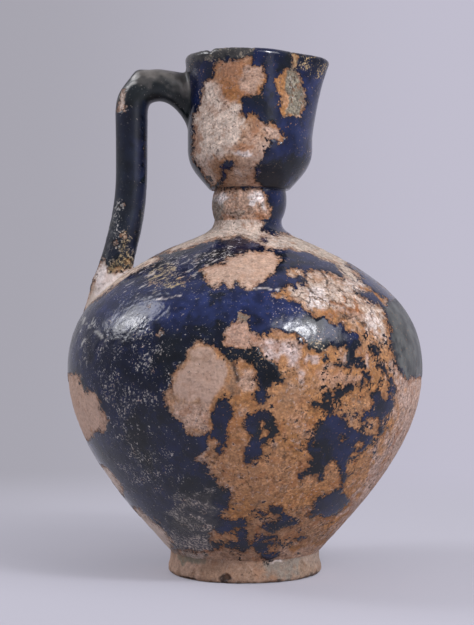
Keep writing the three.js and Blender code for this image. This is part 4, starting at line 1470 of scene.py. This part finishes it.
def clay_colour(graph, edge, coarse, fine, stroke):
    """Fired clay: mottled and stippled, rust-stained beside the glaze, with open pores and pale dots."""
    colour = graph.attribute("clay", "Color")
    grain = graph.attribute("grain")
    for pattern, swing in ((coarse, MOTTLE), (graph.noise(*CLAY_CLOUDS), MOTTLE), (fine, STIPPLE)):
        dark = graph.weigh(1.0, (grain, -swing))
        light = graph.weigh(1.0, (grain, swing * LIGHT_SWING))
        colour = graph.shade(colour, graph.span(pattern, *MOTTLE_SPAN, dark, light))

    pores = graph.times(graph.spots(*PORES), graph.spots(*PORE_CLUSTERS))
    layers = {
        "rust": graph.times(graph.spots(*RUST_SPOTS), grain),
        "flecks": graph.times(graph.spots(*FLECKS), grain),
        "streaks": graph.times(graph.span(stroke, *STREAK_SPAN), graph.attribute("streak")),
        "stain": graph.times(graph.span(edge, *STAIN_EDGE), graph.span(coarse, *STAIN_PATCHES)),
        "edge_line": graph.times(graph.span(edge, *EDGE_LINE), graph.span(fine, *EDGE_LINE_PATCHES)),
        "pores": graph.times(pores, grain),
        "pale_dots": graph.times(graph.spots(*PALE_DOTS), grain),
    }
    crackle = graph.times(graph.attribute("crackle"), graph.span(coarse, *CRACK_PATCHES))
    for net, (size, width) in CRACK_NETS.items():
        layers[net] = graph.times(graph.span(graph.cracks(size), CRACK_CORE, width, 1.0, 0.0), crackle)
    for layer, (strength, tint) in CLAY_LAYERS.items():
        colour = graph.blend(graph.times(layers[layer], strength), colour, tint)
    return colour, pores


def glaze_colour(graph, edge, coarse, stroke, pits):
    """Cobalt glaze: dark and cloudy, with specks and slanting scuffs of what lies below."""
    colour = graph.shade(graph.attribute("glaze", "Color"), graph.spots(*GLAZE_CLOUDS))
    # painted shade: darker glaze towards the flaked edge
    colour = graph.shade(colour, graph.span(edge, *GLAZE_EDGE_SHADE))
    level = graph.span(graph.times(pits, graph.spots(*SPECK_CLUSTERS)), *SPECK_LEVELS)
    speck = graph.span(graph.weigh(graph.noise(*SPECKS), (level, -1.0)), *SPECK_SPAN)
    streak = graph.span(graph.attribute("streak"), *DRAWN_STREAKS)
    speck = graph.math("MAXIMUM", speck, graph.times(graph.span(stroke, *DRAWN_SPAN), streak))
    tint = graph.shade(graph.attribute("clay", "Color"), graph.spots(*SPECK_TINTS))
    colour = graph.blend(graph.times(speck, graph.span(coarse, *SPECK_PATCHES)), colour, tint)
    return colour, speck


def ware_material(name, glaze_roughness):
    """Glaze over clay, parted where the glaze has flaked off."""
    graph = Graph(name)
    coarse, fine, crumbs = (graph.noise(*kind) for kind in (COARSE, FINE, CRUMBS))
    stroke = graph.noise(*STROKES, graph.strokes())
    pits = graph.attribute("pits")
    swings = ((coarse, EDGE_SWING), (crumbs, EDGE_CRUMBS))
    swings = [(graph.add(pattern, -NOISE_MEAN), swing) for pattern, swing in swings]
    edge = graph.weigh(graph.attribute("bare"), *swings)
    cluster = graph.times(graph.attribute("crumb"), graph.spots(*CRUMB_CLUSTERS))
    bits = graph.weigh(graph.noise(*BITS), (cluster, BIT_GAIN))
    bare = graph.times(graph.span(edge, *FLAKE_SPAN), graph.span(bits, *BIT_SPAN))
    glazed = graph.weigh(1.0, (bare, -1.0))
    clay, pores = clay_colour(graph, edge, coarse, fine, stroke)
    glaze, speck = glaze_colour(graph, edge, coarse, stroke, pits)
    graph.link(graph.blend(bare, glaze, clay), graph.shader.inputs["Base Color"])

    worn = ((graph.attribute("matt"), MATT_ROUGHNESS), (graph.times(pits, coarse), PIT_ROUGHNESS))
    smooth = graph.weigh(glaze_roughness, *worn, (speck, SPECK_ROUGHNESS))
    rough = graph.span(fine, *CLAY_ROUGHNESS)
    roughness = graph.weigh(graph.times(smooth, glazed), (rough, bare))
    graph.link(roughness, graph.shader.inputs["Roughness"])

    scuff = graph.times(graph.noise(*SCUFFS), graph.attribute("scuff"))
    skin = graph.weigh(GLAZE_RISE, (coarse, GLAZE_RIPPLE), (graph.times(crumbs, pits), PIT_RISE))
    skin = graph.weigh(skin, (scuff, SCUFF_RISE), (speck, SPECK_SINK))
    grain = graph.weigh(0.0, (fine, FINE_RISE), (crumbs, CRUMB_RISE), (pores, PORE_SINK))
    height = graph.weigh(graph.times(skin, glazed), (grain, bare))
    graph.link(graph.node("Bump", {"Distance": MM, "Height": height}), graph.shader.inputs["Normal"])
    graph.link(GLAZE_IOR, graph.shader.inputs["IOR"])
    return graph.material


def stage_material():
    """Pale lilac paper: lit and shadowed near the ewer, and to the eye farther off a glow of paper colour
    with painted shading.
    """
    graph = Graph("stage_paper")
    across, behind = graph.channel(graph.place, 0), graph.channel(graph.place, 1)
    colour = surrounding(graph, across, graph.add(behind, -CAMERA_AT[1]))
    graph.link(PAPER_NEAR, graph.shader.inputs["Base Color"])
    graph.link(PAPER_ROUGHNESS, graph.shader.inputs["Roughness"])
    away = graph.length(across, behind)
    far = graph.times(graph.seen_directly(), graph.span(away, *PAPER_FADE))
    glow = graph.node("Emission", {"Color": graph.blend(graph.span(away, *PAPER_TURN), PAPER_NEAR, colour)})
    graph.end_in("Material Output", far, graph.shader.outputs[0], glow)
    return graph.material


def surrounding(graph, across, ahead):
    """Paper colour in a level direction with painted shading: darker to the left, lighter to the right,
    greyer behind.
    """
    length = graph.length(across, ahead)
    slant = graph.math("DIVIDE", across, length)
    colour = graph.blend(graph.span(slant, -PAPER_SLANT, PAPER_SLANT), PAPER_LEFT, PAPER_RIGHT)
    return graph.blend(graph.span(graph.math("DIVIDE", ahead, length), *PAPER_AHEAD), PAPER_BEHIND, colour)


# Pieces
def plain(points):
    return points


def foot_ring(material):
    inner, half = FOOT_WAIST - FOOT_WALL, FOOT_HEIGHT / 2
    flat = FOOT_RADIUS - FOOT_EDGE
    edge = [reach((flat, FOOT_EDGE), FOOT_EDGE, t) for t in np.linspace(-90, 0, FOOT_EDGE_STEPS)]
    start, end = (FOOT_RADIUS, FOOT_EDGE), (FOOT_WAIST, FOOT_HEIGHT)
    waist = bezier(start, (FOOT_RADIUS, half), (FOOT_WAIST, half), end)
    outer = spaced(joined(edge, waist), FOOT_ROW)
    top = [(FOOT_WAIST - FOOT_CROWN_IN, FOOT_HEIGHT + FOOT_CROWN), (inner, FOOT_HEIGHT)]
    under = [(inner, FOOT_HEIGHT), (inner, FOOT_BEVEL), (inner + FOOT_BEVEL, 0), (flat, 0)]
    rest = np.concatenate([spaced(top, FOOT_TOP_ROW), spaced(under, FOOT_UNDER_ROW)[1:-1]])
    mesh = turned_piece("foot_ring", outer, rest, FOOT_COLUMNS, FOOT_MARKS, plain)
    return place(mesh, material, "bare_body", "foot_ring")


def lower_body(material):
    outer = spaced(lower_line(), BODY_ROW)
    floor = BASE_Z + FLOOR
    inner = offset(lower_line(), BODY_WALL)
    inner = spaced(inner[inner[:, 1] > floor][::-1], HIDDEN_ROW)
    inner[0] = (BELLY_RADIUS - BODY_WALL, BELLY_Z)
    rest = np.concatenate([inner, [(inner[-1][0] - FLOOR_TURN, floor), (inner[-1][0] / 2, floor)]])
    ends = ((0, 0, BASE_Z), (0, 0, floor))
    after = spaced(upper_line(), BODY_ROW)[1]
    mesh = turned_piece("lower_body", outer, rest, BODY_COLUMNS, BODY_MARKS, plain, ends, (None, after))
    return place(mesh, material, "glazed_body", "lower_body")


def upper_body(material):
    outer = spaced(upper_line(), BODY_ROW)
    inner = offset(upper_line(), BODY_WALL)
    inner = spaced(inner[inner[:, 0] > BORE_RADIUS + BODY_WALL][::-1], HIDDEN_ROW)
    bore = [(BORE_RADIUS, NECK_Z), (BORE_RADIUS, inner[0][1] + BODY_WALL / 2)]
    rest = np.concatenate([bore, inner, [(BELLY_RADIUS - BODY_WALL, BELLY_Z)]])
    before = spaced(lower_line(), BODY_ROW)[-2]
    mesh = turned_piece("upper_body", outer, rest, BODY_COLUMNS, BODY_MARKS, lean, beyond=(before, None))
    return place(mesh, material, "glazed_body", "upper_body", "belly_slip")


def neck_collar(material):
    rise = (COLLAR_TOP - COLLAR_Z) / 3
    bulge = NECK_RADIUS + COLLAR_BULGE * 4 / 3  # a cubic stands out three quarters as far as its pulls
    start, end = (NECK_RADIUS, COLLAR_Z), (CUP_WAIST, COLLAR_TOP)
    side = bezier(start, (bulge, COLLAR_Z + rise), (bulge, COLLAR_TOP - rise), end)
    outer = spaced(side, COLLAR_ROW)
    rest = spaced([(BORE_RADIUS, COLLAR_TOP), (BORE_RADIUS, COLLAR_Z)], HIDDEN_ROW)
    mesh = turned_piece("neck_collar", outer, rest, COLLAR_COLUMNS, COLLAR_MARKS, lean)
    return place(mesh, material, "glazed_body", "neck_collar")


def nicked(points):
    """The cup's lip and lean, with small nicks along the front of the rim."""
    shaped = lean(pull_lip(points))
    across = seen_at(shaped.reshape(-1, 3))[:, 0].reshape(shaped.shape[:2])
    front = (points[..., 1] < 0) * smoothstep(RIM_Z - NICK_FROM, RIM_Z - NICK_FULL, points[..., 2])
    for column, half_width, depth in RIM_NICKS:
        shaped[..., 2] -= depth * front * np.exp(-(((across - column) / half_width) ** 2))
    return shaped


def mouth_cup(material):
    wall = cup_line()
    middle = (wall[-1][0] - CUP_WALL / 2, RIM_Z - CUP_WALL / 2)
    rim = [reach(middle, CUP_WALL / 2, t) for t in np.linspace(0, 180, RIM_STEPS)]
    outside = spaced(joined(wall, rim), CUP_ROW)
    well = CUP_Z + CUP_WALL / 2
    inner = offset(wall[1:], CUP_WALL)
    free = (inner[:, 0] > BORE_RADIUS) & (inner[:, 1] > well) & (inner[:, 1] < middle[1] - CUP_WALL)
    inside = spaced(np.concatenate([rim[-1:], inner[free][::-1]]), 2 * CUP_ROW)
    outer = np.concatenate([joined(outside, inside), [(BORE_RADIUS, well)]])
    rest = [(BORE_RADIUS, CUP_Z)]
    hidden = len(outer) - len(outside) + RIM_INSIDE_ROWS
    mesh = turned_piece("mouth_cup", outer, rest, CUP_COLUMNS, CUP_MARKS, nicked, hidden=hidden)
    return place(mesh, material, "glazed_body", "mouth_cup")


def slip_ring(node, material, marks):
    """A ring of slip in a joint, a little hollow at its edge."""
    low, high = node_box(node)
    radius = (high[0] - low[0]) / 2 - SLIP_RECESS
    inner = FOOT_WAIST - FOOT_WALL if node == "foot_slip" else BORE_RADIUS
    bottom, top = low[2] - JOINT_SINK, high[2] + JOINT_SINK
    edge = [(radius, bottom), (radius - SLIP_RECESS, (bottom + top) / 2), (radius, top)]
    outer = spaced(edge, COLLAR_ROW / 2)
    rest = spaced([(inner, top), (inner, bottom)], COLLAR_ROW)
    mesh = turned_piece(node, outer, rest, COLLAR_COLUMNS, marks, lean)
    return place(mesh, material, "luting_slip", node)


def gap_to(line, points):
    """How far points stand outside a leaning round wall, measured level."""
    rising = line[np.argsort(line[:, 1])]
    radius = np.interp(points[..., 2], rising[:, 1], rising[:, 0])
    return np.hypot(points[..., 0] - lean_at(points[..., 2]), points[..., 1]) - radius


def handle_path():
    """Points along the handle's axis in its upright plane, evenly spaced, as distance across and height."""
    knee = np.array([-HANDLE_REACH, RIM_Z - ARM_DEPTH])
    arm_end = np.array([NECK_LEAN - CUP_RADIUS + CUP_WALL * 2, knee[1]])
    grip_foot = np.array([-HANDLE_REACH, NECK_Z + GRIP_TURN])
    dome = upper_line()[::-1]
    root = np.array([-ROOT_RADIUS, np.interp(ROOT_RADIUS, dome[:, 0], dome[:, 1])])
    root_end = root + unit(root - grip_foot) * ROOT_EMBED
    stops = [arm_end, knee, grip_foot, root_end]
    line = [arm_end]
    for before, stop, after, bend in zip(stops, stops[1:], stops[2:], (KNEE_BEND, GRIP_BEND)):
        enter = stop + unit(before - stop) * bend
        leave = stop + unit(after - stop) * bend
        line.extend(arc(enter, stop, leave, BEND_STEPS))
    line.append(root_end)
    length = np.linalg.norm(np.diff(line, axis=0), axis=1).sum()
    return spaced(line, length / HANDLE_STEPS), length


def ease(amount, distance, over):
    return amount * np.clip(1 - distance / over, 0, 1) ** 2


def handle_blank():
    """Rings of the handle from inside the cup to inside the shoulder, with its sag and its flared ends."""
    path, length = handle_path()
    along = unit(np.gradient(path, axis=0))
    to_cup = NECK_LEAN - CUP_RADIUS - path[:, 0]
    to_root = np.linspace(length, 0, len(path)) - ROOT_EMBED
    root_flare = ease(ROOT_FLARE, to_root, ROOT_FLARE_LENGTH)
    half_width = HANDLE_WIDTH / 2 + ease(ARM_FLARE, to_cup, ARM_FLARE_LENGTH) + root_flare
    half_depth = HANDLE_DEPTH / 2 + root_flare
    turns = np.linspace(0, 2 * math.pi, HANDLE_SIDES, endpoint=False)
    wide = half_width[:, None] * np.cos(turns)
    rings = np.empty((len(path), HANDLE_SIDES, 3))
    rings[..., 0] = path[:, :1] - along[:, 1:] * wide
    rings[..., 1] = half_depth[:, None] * np.sin(turns)
    rings[..., 2] = path[:, 1:] - ease(ARM_SAG, to_cup, ARM_SAG_LENGTH)[:, None] + along[:, :1] * wide
    return rings


def crossing(gaps, level, last):
    """For each side line, the ring position where its gap passes a level, from the cup or to the shoulder."""
    outside = gaps > level
    if last:
        index = outside.shape[0] - np.argmax(outside[::-1], axis=0) - 1
        other = np.minimum(index + 1, len(gaps) - 1)
    else:
        index = np.argmax(outside, axis=0)
        other = np.maximum(index - 1, 0)
    side = np.arange(gaps.shape[1])
    here, there = gaps[index, side], gaps[other, side]
    share = np.clip((here - level) / np.maximum(here - there, TINY), 0, 1)
    return index + (other - index) * share


def along_sides(rings, at):
    """Points on each side line of the rings at fractional ring positions."""
    low = np.clip(np.floor(at).astype(int), 0, len(rings) - 2)
    share = (at - low)[..., None]
    side = np.broadcast_to(np.arange(rings.shape[1]), low.shape)
    return rings[low, side] * (1 - share) + rings[low + 1, side] * share


def on_axis_plane(pixel):
    """Where a pixel place falls on the upright plane through the axis, as distance across and height."""
    scale = -CAMERA_AT[1] / FOCAL_PX
    return CAMERA_AT[::2] + (np.array(pixel) - PHOTO_MIDDLE) * (scale, -scale)


def worn_knee(rings):
    """The handle with its outer knee raised to a ridge, and a worn flat below the ridge."""
    low, ridge = (on_axis_plane(pixel) for pixel in KNEE_FLAT)
    near = np.exp(-((rings[..., ::2] - ridge) ** 2).sum(-1) / RIDGE_SPREAD**2)
    raised = rings + grid_normals(rings) * (RIDGE_RISE * near)[..., None]
    along = unit(ridge - low)
    outward = np.array([-along[1], along[0]])
    proud = np.clip((raised[..., ::2] - low) @ outward, 0, None)
    raised[..., ::2] -= proud[..., None] * outward
    return raised


def handle(material):
    blank = handle_blank()
    half = len(blank) // 2
    start = crossing(gap_to(cup_line(), blank[:half]), -JOINT_SINK, False)
    end = crossing(gap_to(upper_line(), blank[half:]), -JOINT_SINK, True) + half
    share = np.linspace(0, 1, HANDLE_RINGS)[:, None]
    rings = worn_knee(along_sides(blank, start + (end - start) * share)[:, ::-1])
    raised, normals, coat = dress(rings, HANDLE_MARKS, np.ones(len(rings)))
    ends = (raised[0].mean(0), raised[-1].mean(0))
    mesh = skin_mesh("handle", raised, normals, ends)
    give_coat(mesh, coat)
    return place(mesh, material, "glazed_body", "handle")


def wall_normal(line, points):
    """Unit normals of a leaning round wall, and how fast the level gap grows along them."""
    steps = np.eye(3) * FEEL
    rises = [gap_to(line, points + step) - gap_to(line, points - step) for step in steps]
    slope = np.stack(rises, axis=-1) / (2 * FEEL)
    steepness = np.linalg.norm(slope, axis=-1, keepdims=True)
    return slope / steepness, steepness


def handle_slip(node, material, line, at_root):
    """A hollow fillet of slip smoothed around one end of the handle, under the same glaze as the handle."""
    blank = handle_blank()
    half = len(blank) // 2
    part = blank[half:] if at_root else blank[:half]
    gaps = gap_to(line, part)
    contact = along_sides(part, crossing(gaps, 0.0, at_root))
    raised = along_sides(part, crossing(gaps, FILLET_RISE, at_root))
    normal, steepness = wall_normal(line, contact)
    outward = contact - contact.mean(0)
    outward = unit(outward - (outward * normal).sum(1, keepdims=True) * normal)
    spread = contact + FILLET_SPREAD * outward
    spread -= normal * (gap_to(line, spread)[:, None] / steepness)
    hollow = arc(raised, contact, spread, FILLET_ROWS)
    sinks = [(spread, normal), (contact, normal + outward), (raised, outward)]
    rings = np.concatenate([hollow, [points - JOINT_SINK * way for points, way in sinks]])
    rings = rings[:, ::-1] if at_root else rings
    dressed, normals, coat = dress(rings[:FILLET_ROWS], HANDLE_MARKS, np.ones(FILLET_ROWS))
    mesh = skin_mesh(node, np.concatenate([dressed, rings[FILLET_ROWS:]]), normals)
    give_coat(mesh, coat)
    return place(mesh, material, "luting_slip", node)


# Light and stage
PAPER_NEAR = srgb(193, 191, 203)
# Painted shading of the far paper: darker to the left, lighter to the right, greyer behind
PAPER_LEFT = srgb(167, 165, 175)
PAPER_RIGHT = srgb(193, 190, 206)
PAPER_BEHIND = srgb(148, 148, 160)
PAPER_SLANT = 0.17
PAPER_AHEAD = (-0.2, 0.7)
PAPER_ROUGHNESS = 0.9
PAPER_FADE = (0.0, 420.0, 0.25, 1.0)
PAPER_TURN = (60.0, 420.0)
STAGE_REACH = 60.0  # metres
SIGHT_REACH = 4 * STAGE_REACH
FILL_COLOUR = srgb(250, 250, 255)
FILL_LEVEL = 0.36
LAMP_COLOUR = (0.96, 0.96, 1.0)
LIGHT_DISTANCE = 1100.0
LIGHT_RADIANCE = 7.9

# Each lamp is met in a highlight: the highlight's place, the way to the lamp, its size in metres, its level
LIGHTS = {
    "light_left": ((-41.7, -51.3, 103.8), (-0.748, 0.162, 0.644), (0.46, 0.62), 0.61),
    "light_left_core": ((-43.2, -51.0, 101.7), (-0.8, 0.1, 0.59), (0.15, 0.12), 2.3),
    "light_right": ((22.9, -64.7, 98.8), (0.58, -0.504, 0.64), (0.8, 0.56), 0.53),
    "light_core": ((19.7, -65.6, 98.4), (0.505, -0.56, 0.655), (0.22, 0.15), 6.6),
    "light_strip": ((9.0, -23.0, 188.0), (0.634, -0.76, 0.143), (0.32, 0.9), 0.1),
}


def aimed(name, data, at, target):
    """An object in the scene at a place, looking at another."""
    item = bpy.data.objects.new(name, data)
    item.location = at
    item.rotation_euler = (Vector(target) - Vector(at)).to_track_quat("-Z", "Y").to_euler()
    bpy.context.scene.collection.objects.link(item)
    return item


def make_camera():
    data = bpy.data.cameras.new("camera")
    data.sensor_width = SENSOR
    data.lens = FOCAL_PX / PHOTO_HEIGHT * SENSOR
    data.clip_end = SIGHT_REACH
    at = CAMERA_AT * MM
    bpy.context.scene.camera = aimed("camera", data, at, at + np.array([0, 1, 0]))


def make_lights():
    for name, (highlight, way, size, level) in LIGHTS.items():
        data = bpy.data.lights.new(name, "AREA")
        data.color = LAMP_COLOUR
        data.shape = "RECTANGLE"
        data.size, data.size_y = size
        data.energy = math.pi * size[0] * size[1] * LIGHT_RADIANCE * level
        at = np.array(highlight) + LIGHT_DISTANCE * np.array(way)
        aimed(name, data, at * MM, np.array(highlight) * MM).visible_camera = False


def make_world():
    """The paper's colour with its painted shading for the camera and reflections, and a soft fill for
    everything else.
    """
    world = bpy.data.worlds.new("studio")
    bpy.context.scene.world = world
    world.use_nodes = True
    graph = Graph(tree=world.node_tree)
    fill = graph.tree.nodes["Background"]
    graph.link(FILL_COLOUR, fill.inputs["Color"])
    graph.link(FILL_LEVEL, fill.inputs["Strength"])
    colour = surrounding(graph, graph.channel(graph.place, 0), graph.channel(graph.place, 1))
    shown = graph.node("Background", {"Color": colour})
    graph.end_in("World Output", graph.seen_directly(), fill.outputs[0], shown)


def make_stage():
    """A wide sheet of paper under the ewer."""
    mesh = bpy.data.meshes.new("stage_floor")
    signs = [(-1, -1), (1, -1), (1, 1), (-1, 1)]
    mesh.from_pydata([(x * STAGE_REACH, y * STAGE_REACH, 0) for x, y in signs], [], [(0, 1, 2, 3)])
    mesh.materials.append(stage_material())
    floor = bpy.data.objects.new("stage_floor", mesh)
    bpy.context.scene.collection.objects.link(floor)


make_camera()
glazed = ware_material("glazed_body", GLAZED_ROUGHNESS)
bare = ware_material("bare_body", BARE_ROUGHNESS)
slip = ware_material("luting_slip", SLIP_ROUGHNESS)
foot_ring(bare)
lower_body(glazed)
upper_body(glazed)
neck_collar(glazed)
mouth_cup(glazed)
handle(glazed)
slip_ring("foot_slip", slip, FOOT_MARKS)
slip_ring("neck_slip", slip, COLLAR_MARKS)
slip_ring("cup_slip", slip, COLLAR_MARKS)
handle_slip("handle_cup_slip", slip, cup_line(), False)
handle_slip("handle_shoulder_slip", slip, upper_line(), True)
make_stage()
make_lights()
make_world()

bpy.context.scene.view_settings.view_transform = "Standard"
